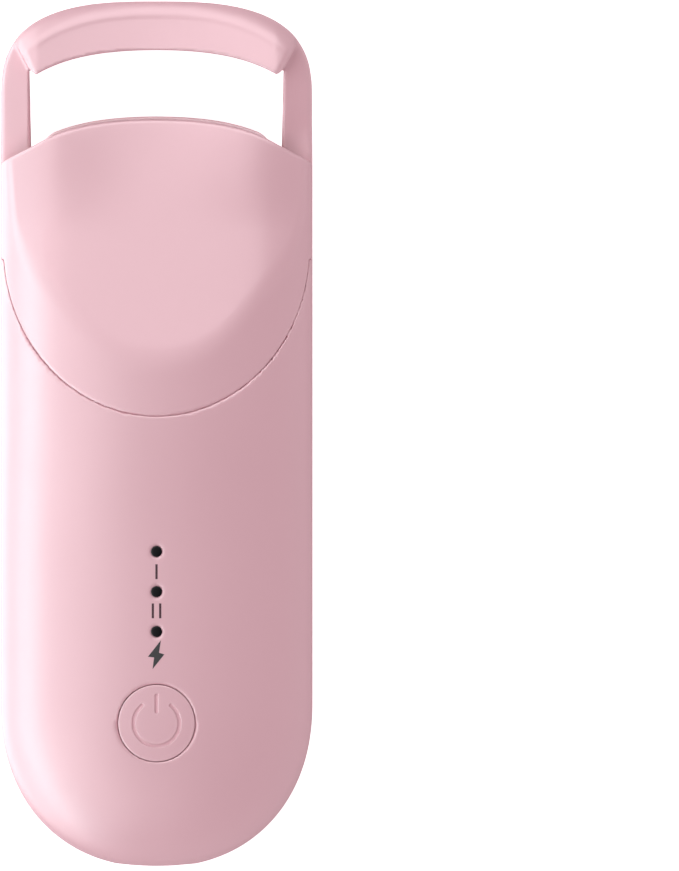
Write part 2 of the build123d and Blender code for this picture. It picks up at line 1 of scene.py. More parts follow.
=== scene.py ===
import bpy
import math
import numpy as np
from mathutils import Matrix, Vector


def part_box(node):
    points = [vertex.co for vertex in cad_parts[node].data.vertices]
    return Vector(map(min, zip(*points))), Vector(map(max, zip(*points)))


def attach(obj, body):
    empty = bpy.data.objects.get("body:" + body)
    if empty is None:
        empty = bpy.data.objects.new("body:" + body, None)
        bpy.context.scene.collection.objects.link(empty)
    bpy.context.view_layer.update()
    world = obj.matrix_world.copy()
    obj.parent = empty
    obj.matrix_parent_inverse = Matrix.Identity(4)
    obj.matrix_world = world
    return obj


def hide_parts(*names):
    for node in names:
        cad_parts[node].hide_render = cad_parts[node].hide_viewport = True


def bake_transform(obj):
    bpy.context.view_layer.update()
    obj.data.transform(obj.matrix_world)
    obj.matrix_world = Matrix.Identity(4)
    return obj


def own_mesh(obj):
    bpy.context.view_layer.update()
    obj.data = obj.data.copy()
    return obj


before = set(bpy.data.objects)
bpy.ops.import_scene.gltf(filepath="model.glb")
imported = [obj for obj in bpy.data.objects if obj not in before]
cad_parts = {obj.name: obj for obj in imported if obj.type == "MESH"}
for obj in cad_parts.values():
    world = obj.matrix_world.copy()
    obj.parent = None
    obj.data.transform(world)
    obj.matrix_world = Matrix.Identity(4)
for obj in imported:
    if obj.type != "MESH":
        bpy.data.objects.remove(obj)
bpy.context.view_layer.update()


# ---------------------------------------------------------------- studio
# A seamless white sweep under an even white tent. Soft panels on the left, beyond the head and by
# the foot, and a card on the floor, show only as gloss. The camera stands overhead, far off.
def plain_finish(name, colour, strength):
    material = bpy.data.materials.new(name)
    material.use_nodes = True
    shader = material.node_tree.nodes["Principled BSDF"]
    shader.inputs["Base Color"].default_value = (*colour, 1)
    shader.inputs["Roughness"].default_value = 0.9
    shader.inputs["Emission Color"].default_value = (1, 1, 1, 1)
    shader.inputs["Emission Strength"].default_value = strength
    return material


def soft_box(name, place, target, width, height, power, lights, colour=(1, 1, 1)):
    """A rectangular panel; lights says whether it gives shade, gloss or both."""
    lamp = bpy.data.lights.new(name, "AREA")
    lamp.shape = "RECTANGLE"
    lamp.size, lamp.size_y = width, height
    lamp.energy, lamp.color = power, colour
    stand = bpy.data.objects.new(name, lamp)
    stand.location = place
    stand.rotation_euler = (Vector(target) - Vector(place)).to_track_quat("-Z", "Y").to_euler()
    stand.visible_camera = False
    stand.visible_diffuse = lights != "gloss"
    stand.visible_glossy = lights != "shade"
    bpy.context.collection.objects.link(stand)


def plane_mesh(name, x0, x1, y0, y1, z):
    mesh = bpy.data.meshes.new(name)
    mesh.from_pydata([(x0, y0, z), (x1, y0, z), (x1, y1, z), (x0, y1, z)], [], [(0, 1, 2, 3)])
    sheet = bpy.data.objects.new(name, mesh)
    bpy.context.collection.objects.link(sheet)
    return sheet


floor = plane_mesh("studio_floor", -4.0, 4.0, -4.0, 4.0, -0.0002)
floor.data.materials.append(plain_finish("white_sweep", (0.8, 0.8, 0.8), 0.75))
floor.visible_glossy = False
card = plane_mesh("gloss_card", -0.30, -0.024, -0.20, 0.16, -0.0001)
card.data.materials.append(plain_finish("white_card", (0.8, 0.8, 0.8), 3.2))
card.visible_camera = False
card.visible_diffuse = False
card.visible_shadow = False
middle = (0, 0, 0.01)
soft_box("low_left", (-0.60, -0.05, 0.10), middle, 1.8, 0.30, 20.0, "gloss", (0.74, 1, 1))
soft_box("high_left", (-0.40, 0.10, 0.52), middle, 1.0, 0.70, 8.0, "gloss")
soft_box("beyond_the_head", (0.0, 0.55, 0.36), middle, 1.0, 0.60, 11.0, "gloss")
soft_box("left_of_the_foot", (-0.35, -0.42, 0.42), middle, 0.70, 0.50, 3.8, "gloss")
soft_box("overhead", (-0.35, 0.0, 0.85), (0, 0, 0), 0.60, 0.60, 2.0, "shade")

world = bpy.data.worlds.new("studio_air")
world.use_nodes = True
tent = world.node_tree.nodes["Background"]
tent.inputs["Color"].default_value = (1, 1, 1, 1)
tent.inputs["Strength"].default_value = 0.68
world.cycles_visibility.glossy = False
bpy.context.scene.world = world
bpy.context.scene.view_settings.view_transform = "Standard"

widest_level = 0.008                # where the case's two halves meet
camera_height = 3.00                # above that level
frame_span = 0.11167                # what the frame's long side covers at that level
aim_x, aim_y = 0.02346, -0.00016    # the curler stands left of the middle of the frame
lens = bpy.data.cameras.new("camera")
lens.sensor_width = 36
lens.lens = 36 * camera_height / frame_span
lens.clip_end = 20
camera = bpy.data.objects.new("camera", lens)
camera.location = (0, 0, widest_level + camera_height)
camera.rotation_euler = (math.atan(aim_y / camera_height), -math.atan(aim_x / camera_height), 0)
bpy.context.collection.objects.link(camera)
bpy.context.scene.camera = camera


# ---------------------------------------------------------------- rear housing
# One moulding in satin pink plastic: the back shell, the two arms beside the lash window and the
# fixed upper jaw that joins them. Inside it has screw bosses, rod lugs and ribs for the battery.
MM = 0.001      # sizes and forms are in millimetres, meshes in metres
HALF_W = 20.0
HALF_L = 55.5
WALL = 1.8
SPLIT_Z = round(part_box("front_shell")[0][2] / MM, 2)
RIDGE_TOP = round(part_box("slider_cover")[1][2] / MM, 2)
PAD_Y = round(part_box("heating_pad")[1][1] / MM, 2)
TRAVEL, LASH_ROOM = 8.6, 0.11
CLAMP_Y = PAD_Y + TRAVEL + LASH_ROOM
FOOT_REACH, FOOT_POWER = 21.2, 2.2
HEAD_REACH, HEAD_POWER = 12.8, 2.85
FOOT_Y = -HALF_L + FOOT_REACH
HEAD_Y = HALF_L - HEAD_REACH
BACK_DEPTH, BACK_POWER = 8.4, 3.2
JAW_RADIUS, JAW_HALF, JAW_LEAN = 42.0, 15.4, 0.019
ARM_INNER, ARM_INNER_LOW = 16.35, 16.1
RIM_ROUND, RIM_WIDEN, ARCH_RISE, ARCH_HALF, ARCH_TILT = 2.2, 1.3, 1.8, 15.3, 0.3
RIM_POWER = 1.7
ARM_SLOPE, ARM_SLOPE_Y = 0.25, 34.0
LIP_REACH, LIP_Z = 0.25, 9.0
ROD_X, ROD_Z = 13.0, 5.4
SHELL_SCREWS = ((14.8, -4.0), (13.5, -36.0))
SCREW_SEAT_Z = 2.2
CHARGE_POST = (4.8, -43.8)


def norm(a, b, power):
    return (np.abs(a) ** power + np.abs(b) ** power) ** (1 / power)


def smooth(t):
    t = np.clip(t, 0, 1)
    return t * t * (3 - 2 * t)


def meet(a, b, r):
    """Common part of two forms, with the edge between them rounded to r."""
    return np.minimum(-r, np.maximum(a, b)) + np.hypot(np.maximum(a + r, 0), np.maximum(b + r, 0))


def join(a, b, r):
    return -meet(-a, -b, r)


def cut(a, b, r):
    return meet(a, -b, r)


def distance(form, x, y, z, *sizes):
    """A form's value turned into millimetres from its surface."""
    h = 0.04
    slope = 0
    for dx, dy, dz in ((h, 0, 0), (0, h, 0), (0, 0, h)):
        step = form(x + dx, y + dy, z + dz, *sizes) - form(x - dx, y - dy, z - dz, *sizes)
        slope = slope + (step / (2 * h)) ** 2
    return form(x, y, z, *sizes) / np.sqrt(slope + 1e-7)


def slab(v, low, high):
    return np.maximum(low - v, v - high)


def bar(x, y, z, x0, x1, y0, y1, z0, z1):
    return np.maximum(np.maximum(slab(x, x0, x1), slab(y, y0, y1)), slab(z, z0, z1))


def peg(x, y, z, at, z0, z1, radius):
    return np.maximum(np.hypot(x - at[0], y - at[1]) - radius, slab(z, z0, z1))


def fine_axis(low, high, step, stretches=()):
    """Grid lines from low to high, closer together in the given stretches (from, to, step)."""
    lines = [low]
    while lines[-1] < high:
        here = step
        for start, end, small in stretches:
            if start <= lines[-1] < end:
                here = small
        lines.append(lines[-1] + here)
    return np.array(lines)


def skin(form, axes, relax=2):
    """Points and quads on the surface of a form, one point for each grid cell that it crosses."""
    ax, ay, az = axes
    shape = (len(ax), len(ay), len(az))
    value = form(ax[:, None, None], ay[None, :, None], az[None, None, :])
    value = np.broadcast_to(value, shape).astype(float)
    inside = value < 0
    cells = tuple(n - 1 for n in shape)
    total = cells[0] * cells[1] * cells[2]
    count = np.zeros(total)
    place = np.zeros((total, 3))
    quads = []
    stride = (cells[1] * cells[2], cells[2], 1)
    for d in range(3):
        here = tuple(slice(None, -1) if k == d else slice(None) for k in range(3))
        there = tuple(slice(1, None) if k == d else slice(None) for k in range(3))
        i, j, k = np.nonzero(inside[here] != inside[there])
        a = value[here][i, j, k]
        b = value[there][i, j, k]
        t = a / (a - b)
        index = [i, j, k]
        point = np.stack([axes[m][index[m]] for m in range(3)], 1)
        point[:, d] += t * (axes[d][index[d] + 1] - axes[d][index[d]])
        u, w = (d + 1) % 3, (d + 2) % 3
        base = i * stride[0] + j * stride[1] + k * stride[2]
        around = [base - stride[u] - stride[w], base - stride[w], base, base - stride[u]]
        for cell in around:
            count += np.bincount(cell, minlength=total)
            for m in range(3):
                place[:, m] += np.bincount(cell, weights=point[:, m], minlength=total)
        ring = np.stack(around, 1)
        ring[a > 0] = ring[a > 0][:, ::-1]
        quads.append(ring)
    used = np.nonzero(count)[0]
    number = np.full(total, -1)
    number[used] = np.arange(len(used))
    points = place[used] / count[used][:, None]
    quads = number[np.concatenate(quads)]
    reach = min(float(np.min(np.diff(line))) for line in axes)

    def settle(p):
        h = 0.02
        x, y, z = p.T
        f = form(x, y, z)
        g = np.stack([
            form(x + h, y, z) - form(x - h, y, z),
            form(x, y + h, z) - form(x, y - h, z),
            form(x, y, z + h) - form(x, y, z - h),
        ], 1) / (2 * h)
        step = f / np.maximum((g ** 2).sum(1), 0.05)
        step = np.clip(step, -reach, reach)
        return p - g * step[:, None]

    edges = np.concatenate([quads[:, [0, 1]], quads[:, [1, 2]], quads[:, [2, 3]], quads[:, [3, 0]]])
    degree = np.maximum(np.bincount(edges[:, 0], minlength=len(points)), 1)
    for _ in range(2):
        points = settle(points)
    for _ in range(relax):
        mean = np.stack([
            np.bincount(edges[:, 0], weights=points[edges[:, 1], m], minlength=len(points))
            for m in range(3)
        ], 1) / degree[:, None]
        points = settle(points + 0.5 * (mean - points))
    points = settle(points)
    return points, quads


def mesh_piece(name, points, faces, material, smooth_faces=True):
    """A piece at the origin from points in millimetres."""
    mesh = bpy.data.meshes.new(name)
    corners = faces.tolist() if isinstance(faces, np.ndarray) else faces
    mesh.from_pydata((np.asarray(points) * MM).tolist(), [], corners)
    mesh.validate()
    mesh.polygons.foreach_set("use_smooth", [smooth_faces] * len(mesh.polygons))
    mesh.materials.append(material)
    piece = bpy.data.objects.new(name, mesh)
    bpy.context.collection.objects.link(piece)
    return piece


def edge_wear(piece, form, r=0.45):
    """Marks how far each point stands out at an edge, for the finish to rub through."""
    count = len(piece.data.vertices)
    co = np.empty(count * 3)
    piece.data.vertices.foreach_get("co", co)
    x, y, z = (co.reshape(-1, 3) / MM).T
    around = sum(
        form(x + dx, y + dy, z + dz)
        for dx, dy, dz in ((r, 0, 0), (-r, 0, 0), (0, r, 0), (0, -r, 0), (0, 0, r), (0, 0, -r))
    ) / 6
    worn = np.clip(around / (0.35 * r), 0, 1)
    layer = piece.data.attributes.new("edge_wear", "FLOAT", "POINT")
    layer.data.foreach_set("value", worn.astype(np.float32))


def moulded(name, form, axes, material, body, nodes, relax=2):
    points, quads = skin(form, axes, relax)
    piece = mesh_piece(name, points, quads, material)
    edge_wear(piece, form)
    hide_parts(*nodes)
    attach(piece, body)


def finish(name, colour, shade, rough, grain, metal=0.0, mottle=60.0, texture=9000.0,
           worn=None, coat=0.0, stretch=(1, 1, 1), rough_range=0.08):
    """A procedural finish: mottled colour, uneven gloss, fine grain, rubbed edges."""
    material = bpy.data.materials.new(name)
    material.use_nodes = True
    nodes, links = material.node_tree.nodes, material.node_tree.links
    shader = nodes["Principled BSDF"]
    shader.inputs["Metallic"].default_value = metal
    shader.inputs["Coat Weight"].default_value = coat
    shader.inputs["Coat Roughness"].default_value = 0.15
    place = nodes.new("ShaderNodeTexCoord")
    turn = nodes.new("ShaderNodeMapping")
    turn.inputs["Scale"].default_value = stretch
    links.new(place.outputs["Object"], turn.inputs["Vector"])

    cloud = nodes.new("ShaderNodeTexNoise")
    cloud.inputs["Scale"].default_value = mottle
    cloud.inputs["Detail"].default_value = 3
    links.new(turn.outputs["Vector"], cloud.inputs["Vector"])
    tint = nodes.new("ShaderNodeMix")
    tint.data_type = "RGBA"
    tint.inputs["A"].default_value = (*colour, 1)
    tint.inputs["B"].default_value = (*shade, 1)
    links.new(cloud.outputs["Fac"], tint.inputs["Factor"])
    colour_out = tint.outputs["Result"]

    speck = nodes.new("ShaderNodeTexNoise")
    speck.inputs["Scale"].default_value = texture
    speck.inputs["Detail"].default_value = 2
    links.new(turn.outputs["Vector"], speck.inputs["Vector"])
    gloss = nodes.new("ShaderNodeMapRange")
    gloss.inputs["To Min"].default_value = rough - rough_range / 2
    gloss.inputs["To Max"].default_value = rough + rough_range / 2
    links.new(cloud.outputs["Fac"], gloss.inputs["Value"])
    gloss_out = gloss.outputs["Result"]

    if worn:
        rub = nodes.new("ShaderNodeAttribute")
        rub.attribute_name = "edge_wear"
        patch = nodes.new("ShaderNodeMath")
        patch.operation = "MULTIPLY"
        links.new(rub.outputs["Fac"], patch.inputs[0])
        links.new(cloud.outputs["Fac"], patch.inputs[1])
        lighter = nodes.new("ShaderNodeMix")
        lighter.data_type = "RGBA"
        lighter.inputs["B"].default_value = (*worn, 1)
        links.new(patch.outputs["Value"], lighter.inputs["Factor"])
        links.new(colour_out, lighter.inputs["A"])
        colour_out = lighter.outputs["Result"]
        polish = nodes.new("ShaderNodeMath")
        polish.operation = "MULTIPLY_ADD"
        polish.inputs[1].default_value = -0.12
        links.new(patch.outputs["Value"], polish.inputs[0])
        links.new(gloss_out, polish.inputs[2])
        gloss_out = polish.outputs["Value"]

    links.new(colour_out, shader.inputs["Base Color"])
    links.new(gloss_out, shader.inputs["Roughness"])
    bump = nodes.new("ShaderNodeBump")
    bump.inputs["Strength"].default_value = grain
    bump.inputs["Distance"].default_value = 0.00002
    links.new(speck.outputs["Fac"], bump.inputs["Height"])
    links.new(bump.outputs["Normal"], shader.inputs["Normal"])
    return material


pink = finish("pink_satin_plastic", (0.715, 0.405, 0.462), (0.690, 0.385, 0.440), 0.44, 0.25,
              worn=(0.76, 0.47, 0.52))


def jaw_drop(x):
    """How far both jaws' edges fall away from the middle."""
    x = np.abs(x)
    bend = np.minimum(x, JAW_HALF)
    return 0.0078 * bend ** 2 + 2.36e-5 * bend ** 4 + 0.52 * np.maximum(x - JAW_HALF, 0)


def capsule(x, y, z, inset, depth):
    """Value of the case's outline form: flat-sided capsule, drawn in towards the back."""
    foot = np.maximum(FOOT_Y - y, 0) / (FOOT_REACH - inset)
    head = np.maximum(y - HEAD_Y, 0) / (HEAD_REACH - inset)
    side = x / (HALF_W - inset)
    outline = np.where(y < 0, norm(side, foot, FOOT_POWER), norm(side, head, HEAD_POWER))
    under = np.maximum(SPLIT_Z - z, 0) / depth
    return norm(outline, under, BACK_POWER) - 1


def arch_front(x, y, z):
    """Upper jaw's front: bent to the eye, with a broadly rounded outer edge."""
    across = np.abs(x)
    level = np.maximum(1 - (across / HALF_W) ** HEAD_POWER, 0) ** (1 / HEAD_POWER)
    top = HEAD_Y + HEAD_REACH * level
    round_w = RIM_ROUND + RIM_WIDEN * np.minimum(across / ARCH_HALF, 1) ** 2
    rise = ARCH_RISE + np.minimum(across, ARCH_HALF) ** 2 / (2 * JAW_RADIUS)
    end = np.clip((across - ARCH_HALF) / (HALF_W - ARCH_HALF), 0, 0.999)
    rise = rise * np.sqrt(1 - end ** 2) + ARCH_TILT * np.maximum(top - round_w - y, 0)
    rim = np.maximum(y - top + round_w, 0) / round_w
    return norm(rim, np.maximum(z - SPLIT_Z, 0) / rise, RIM_POWER) - 1


def port(x, y, z):
    """The charging port's oval through the foot, centred on the parting plane."""
    return np.maximum(np.hypot(np.maximum(np.abs(x) - 2.87, 0), z - SPLIT_Z) - 1.9, y + 46)


def rear_housing(x, y, z):
    across = np.abs(x)
    case = distance(capsule, x, y, z, 0.0, BACK_DEPTH)
    top_edge = 0.12 + 0.5 * smooth((y - 19) / 3)
    arm_drop = ARM_SLOPE * smooth((y - ARM_SLOPE_Y) / 6) * np.maximum(across - 16, 0)
    low = meet(case, z - SPLIT_Z + arm_drop, top_edge)
    low = meet(low, -z, 0.3)

    diagonal = (46.9 + (across - ARM_INNER) * 1.886 - y) / 2.135
    high = meet(distance(arch_front, x, y, z), diagonal, 0.9)
    high = meet(high, SPLIT_Z - 2 - z, 0.1)
    high = np.maximum(high, case)
    whole = np.maximum(join(low, high, 0.5), case)

    bent_z = z - np.minimum(across, JAW_HALF) ** 2 / (2 * JAW_RADIUS)
    clamp = np.where(across < JAW_HALF, CLAMP_Y - jaw_drop(x), 46.27 + 0.663 * (across - JAW_HALF))
    clamp = clamp - LIP_REACH * smooth((bent_z - LIP_Z) / 1.2) + 0.03 * np.maximum(4.7 - bent_z, 0)
    inner = ARM_INNER_LOW + (ARM_INNER - ARM_INNER_LOW) * np.clip((y - 37.0) / 9.9, 0, 1)
    inner = inner - 0.06 + 0.01 * (SPLIT_Z - z)
    sill = PAD_Y - 3.0 - jaw_drop(x)
    lean = np.sqrt(1 + (JAW_LEAN * across) ** 2)
    window = meet((y - clamp) / lean, across - inner, 0.12)
    window = np.maximum(window, (sill - y) / lean)
    whole = cut(whole, window, 0.16)

    hollow = distance(capsule, x, y, z, WALL, BACK_DEPTH - 2)
    hollow = meet(hollow, 2.0 - z, 0.4)
    hollow = np.maximum(hollow, y - (PAD_Y + 5 - jaw_drop(x)))
    hollow = np.maximum(hollow, np.minimum(across - ARM_INNER_LOW, y - 23.5))
    whole = cut(whole, hollow, 0.15)

    for y0, y1 in ((4.5, 7.5), (31.0, 34.0)):
        whole = join(whole, bar(across, y, z, 11, 15, y0, y1, 1.5, 7.4), 0.3)
    rod = np.maximum(np.hypot(across - ROD_X, z - ROD_Z) - 1.0, slab(y, 5.2, 34.5))
    whole = np.maximum(whole, -rod)
    for at in SHELL_SCREWS:
        boss = np.maximum(peg(across, y, z, at, 1.0, SPLIT_Z, 2.6), case + 0.5)
        whole = join(whole, boss, 0.3)
        whole = cut(whole, peg(across, y, z, at, -2, SPLIT_Z + 2, 1.15), 0.1)
        whole = cut(whole, peg(across, y, z, at, -2, SCREW_SEAT_Z, 2.1), 0.15)
    whole = join(whole, peg(across, y, z, CHARGE_POST, 1.5, 5.6, 1.5), 0.2)
    whole = cut(whole, peg(across, y, z, CHARGE_POST, 2.8, 8, 0.6), 0.05)
    rib = bar(across, y, z, 11.5, 12.3, -31.5, -2.5, 1.5, 4.5)
    whole = join(whole, rib, 0.2)
    return cut(whole, port(x, y, z), 0.25)


detail = 0.36
housing_axes = (
    fine_axis(-20.8, 20.6, detail),
    fine_axis(-56.2, 56.0, detail, ((43.5, 56, detail * 0.65),)),
    fine_axis(-0.7, 14.2, detail * 0.9),
)
moulded("rear_housing_moulding", rear_housing, housing_axes, pink, "body", ["rear_housing"])


# ---------------------------------------------------------------- guide rods
# Two ground steel rods pressed into the lugs of the rear housing; the slider's carriage runs on
# them. Fine grinding marks run round them.
def dress(node, material):
    """Gives a CAD node its finish."""
    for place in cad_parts[node].material_slots:
        place.material = material


ground_steel = finish("ground_steel", (0.62, 0.61, 0.60), (0.52, 0.51, 0.50), 0.22, 0.5,
                      metal=1.0, mottle=300, texture=3000, stretch=(1, 9, 1))
dress("guide_rod_left", ground_steel)
dress("guide_rod_right", ground_steel)


# ---------------------------------------------------------------- return springs
# Compression springs of drawn spring wire with closed ends, one round each guide rod. They push
# the slider back from the upper jaw.
spring_wire = finish("drawn_spring_wire", (0.42, 0.41, 0.40), (0.30, 0.29, 0.28), 0.30, 0.6,
                     metal=1.0, mottle=500, texture=12000)


def add(tree, kind, *inputs, **settings):
    """A node with its settings, and its first inputs from values or from other sockets."""
    node = tree.nodes.new(kind)
    for name, value in settings.items():
        setattr(node, name, value)
    for place, value in zip(node.inputs, inputs):
        if isinstance(value, bpy.types.NodeSocket):
            tree.links.new(value, place)
        elif value is not None:
            place.default_value = value
    return node


def maths(tree, operation, a, b=0.0):
    return add(tree, "ShaderNodeMath", a, b, operation=operation).outputs[0]


def xyz(tree, x, y, z):
    return add(tree, "ShaderNodeCombineXYZ", x, y, z).outputs[0]


def new_tree(name, sizes):
    """An empty tree with a geometry input, named size inputs, a material and an output."""
    tree = bpy.data.node_groups.new(name, "GeometryNodeTree")
    tree.interface.new_socket(name="Geometry", in_out="INPUT", socket_type="NodeSocketGeometry")
    for label, kind in sizes.items():
        tree.interface.new_socket(name=label, in_out="INPUT", socket_type="NodeSocket" + kind)
    tree.interface.new_socket(name="Material", in_out="INPUT", socket_type="NodeSocketMaterial")
    tree.interface.new_socket(name="Geometry", in_out="OUTPUT", socket_type="NodeSocketGeometry")
    start = tree.nodes.new("NodeGroupInput")
    return tree, {socket.name: socket for socket in start.outputs if socket.name}


def close_tree(tree, shape, material):
    """Ends a tree with real geometry in its own material."""
    real = add(tree, "GeometryNodeRealizeInstances", shape).outputs[0]
    painted = add(tree, "GeometryNodeSetMaterial", real).outputs[0]
    tree.links.new(material, painted.node.inputs["Material"])
    end = tree.nodes.new("NodeGroupOutput")
    tree.links.new(painted, end.inputs["Geometry"])


def grown(name, tree, points, material, turned=(), **sizes):
    """A plain mesh piece from what a tree makes on a few points (millimetres)."""
    seed = bpy.data.meshes.new(name + "_places")
    seed.from_pydata([[v * MM for v in point] for point in points], [], [])
    if turned:
        flag = seed.attributes.new("turned", "FLOAT", "POINT")
        flag.data.foreach_set("value", turned)
    maker = bpy.data.objects.new(name + "_maker", seed)
    bpy.context.collection.objects.link(maker)
    modifier = maker.modifiers.new("maker", "NODES")
    modifier.node_group = tree
    values = {label.replace("_", " ").title(): value for label, value in sizes.items()}
    values["Material"] = material
    for item in tree.interface.items_tree:
        if item.in_out == "INPUT" and item.name in values:
            modifier[item.identifier] = values[item.name]
    result = maker.evaluated_get(bpy.context.evaluated_depsgraph_get())
    mesh = bpy.data.meshes.new_from_object(result)
    bpy.data.objects.remove(maker)
    mesh.name = name
    piece = bpy.data.objects.new(name, mesh)
    bpy.context.collection.objects.link(piece)
    return piece


def spring_tree():
    """A helix with closed ends, from the point it is grown on, along Y."""
    tree, given = new_tree("compression_spring", {
        "Coil Radius": "Float", "Wire Radius": "Float", "Length": "Float", "Turns": "Float"})
    spiral = add(tree, "GeometryNodeCurveSpiral", 18, given["Turns"], given["Coil Radius"],
                 given["Coil Radius"], given["Length"])
    at = add(tree, "ShaderNodeSeparateXYZ", add(tree, "GeometryNodeInputPosition").outputs[0])
    share = maths(tree, "DIVIDE", at.outputs[2], given["Length"])
    wave = maths(tree, "SINE", maths(tree, "MULTIPLY", share, 2 * math.pi))
    lag = maths(tree, "MULTIPLY", maths(tree, "MULTIPLY", wave, -0.125), given["Length"])
    helix = add(tree, "GeometryNodeSetPosition", spiral.outputs[0])
    tree.links.new(xyz(tree, 0, 0, lag), helix.inputs["Offset"])
    wire = add(tree, "GeometryNodeCurvePrimitiveCircle", 8)
    tree.links.new(given["Wire Radius"], wire.inputs["Radius"])
    coil = add(tree, "GeometryNodeCurveToMesh", helix.outputs[0], wire.outputs[0])
    coil.inputs["Fill Caps"].default_value = True
    smooth_coil = add(tree, "GeometryNodeSetShadeSmooth", coil.outputs[0])
    placed = add(tree, "GeometryNodeInstanceOnPoints", given["Geometry"])
    tree.links.new(smooth_coil.outputs[0], placed.inputs["Instance"])
    placed.inputs["Rotation"].default_value = (-math.pi / 2, 0, 0)
    close_tree(tree, placed.outputs[0], given["Material"])
    return tree


coil_maker = spring_tree()
wire_r = 0.2
for word, side in (("left", -1), ("right", 1)):
    node = "return_spring_" + word
    low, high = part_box(node)
    coil_r = (high[0] - low[0]) / 2 / MM - wire_r
    start_y, end_y = low[1] / MM + wire_r, high[1] / MM - wire_r
    spring = grown(node + "_coil", coil_maker, [(side * ROD_X, start_y, ROD_Z)], spring_wire,
                   coil_radius=coil_r * MM, wire_radius=wire_r * MM,
                   length=(end_y - start_y) * MM, turns=9.0)
    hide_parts(node)
    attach(spring, "body")
    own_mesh(spring)


# ---------------------------------------------------------------- battery
# Lithium pouch cell in aluminium foil, its long edges folded in, with amber tape over the tab
# end. A strip of grey foam holds it down, and two leads run up to the main board.
foil = finish("pouch_foil", (0.58, 0.59, 0.60), (0.50, 0.51, 0.53), 0.34, 0.9, metal=0.9,
              mottle=220, texture=700, stretch=(1, 0.4, 1))
tape = finish("amber_tape", (0.42, 0.19, 0.02), (0.36, 0.15, 0.015), 0.28, 0.3, coat=0.5)
foam_grey = finish("grey_foam", (0.10, 0.10, 0.11), (0.05, 0.05, 0.055), 0.9, 1.0, texture=3500)
cell_low, cell_high = (np.array(corner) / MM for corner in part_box("battery_cell"))
foam_low, foam_high = (np.array(corner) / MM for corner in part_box("battery_foam"))


def cushion(x, y, z, low, high, r, crown):
    """A block between two corners with rounded edges and slightly crowned faces."""
    mx, my, mz = (low + high) / 2
    hx, hy, hz = (high - low) / 2
    dx, dy, dz = np.abs(x - mx), np.abs(y - my), np.abs(z - mz)
    fall = crown * ((dx / hx) ** 4 + (dy / hy) ** 4)
    return meet(meet(dx - hx, dy - hy, r), dz - hz + fall, r)


def pouch(x, y, z):
    body = cushion(x, y, z, cell_low, cell_high, 0.7, 0.18)
    seam = bar(x, y, z, cell_low[0] + 0.02, cell_high[0] - 0.02, cell_low[1] + 0.3,
               cell_high[1] - 0.1, 4.9, 5.2)
    return join(body, seam, 0.15)


def tab_tape(x, y, z):
    shell_form = cushion(x, y, z, cell_low, cell_high, 0.7, 0.18) - 0.04
    return np.maximum(np.maximum(shell_form, cell_high[1] - 2.6 - y), np.abs(x) - 10.6)


def foam(x, y, z):
    return cushion(x, y, z, foam_low, foam_high, 0.25, 0.05)


def block_axes(low, high, step, extra=0.5):
    return tuple(fine_axis(low[k] - extra, high[k] + extra, step) for k in range(3))


moulded("battery_pouch", pouch, block_axes(cell_low, cell_high, detail), foil, "body",
        ["battery_cell"])
tape_low = np.array([cell_low[0], cell_high[1] - 2.6, cell_low[2]])
moulded("battery_tab_tape", tab_tape, block_axes(tape_low, cell_high, detail * 0.8), tape,
        "body", [])
moulded("battery_foam_strip", foam, block_axes(foam_low, foam_high, detail), foam_grey, "body",
        ["battery_foam"])


def tube(path, radius, sides=12):
    """Points and faces of a round wire along a path in millimetres."""
    path = np.array(path, float)
    way = np.gradient(path, axis=0)
    way /= np.linalg.norm(way, axis=1)[:, None]
    side = np.cross(way, (1.0, 0.02, 0.01))
    side /= np.linalg.norm(side, axis=1)[:, None]
    up = np.cross(way, side)
    angle = np.arange(sides) * 2 * math.pi / sides
    ring = path[:, None] + radius * (
        np.cos(angle)[None, :, None] * side[:, None] + np.sin(angle)[None, :, None] * up[:, None])
    faces = []
    for i in range(len(path) - 1):
        for k in range(sides):
            n = (k + 1) % sides
            faces.append((i * sides + k, i * sides + n, (i + 1) * sides + n, (i + 1) * sides + k))
    last = (len(path) - 1) * sides
    faces.append(tuple(range(sides - 1, -1, -1)))
    faces.append(tuple(last + k for k in range(sides)))
    return ring.reshape(-1, 3), faces


def eased(points, rounds=3):
    """A path with its corners eased by repeated corner cutting."""
    points = np.array(points, float)
    for _ in range(rounds):
        a, b = points[:-1], points[1:]
        inner = np.stack([0.75 * a + 0.25 * b, 0.25 * a + 0.75 * b], 1).reshape(-1, 3)
        points = np.concatenate([points[:1], inner, points[-1:]])
    return points


for colour_word, x, tint in (("red", -5.4, (0.55, 0.02, 0.02)),
                             ("black", -4.0, (0.02, 0.02, 0.022))):
    cover_pvc = finish(colour_word + "_wire_cover", tint, tuple(0.8 * v for v in tint), 0.38, 0.2)
    run = eased(((x, -2.35, 6.4), (x, -1.1, 6.4), (x, -0.9, 8.5), (x, -1.4, 10.9),
                 (x, -5.0, 11.0), (x, -5.5, 12.55)))
    lead = mesh_piece(f"battery_lead_{colour_word}", *tube(run, 0.45), cover_pvc)
    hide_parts("battery_leads")
    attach(lead, "body")


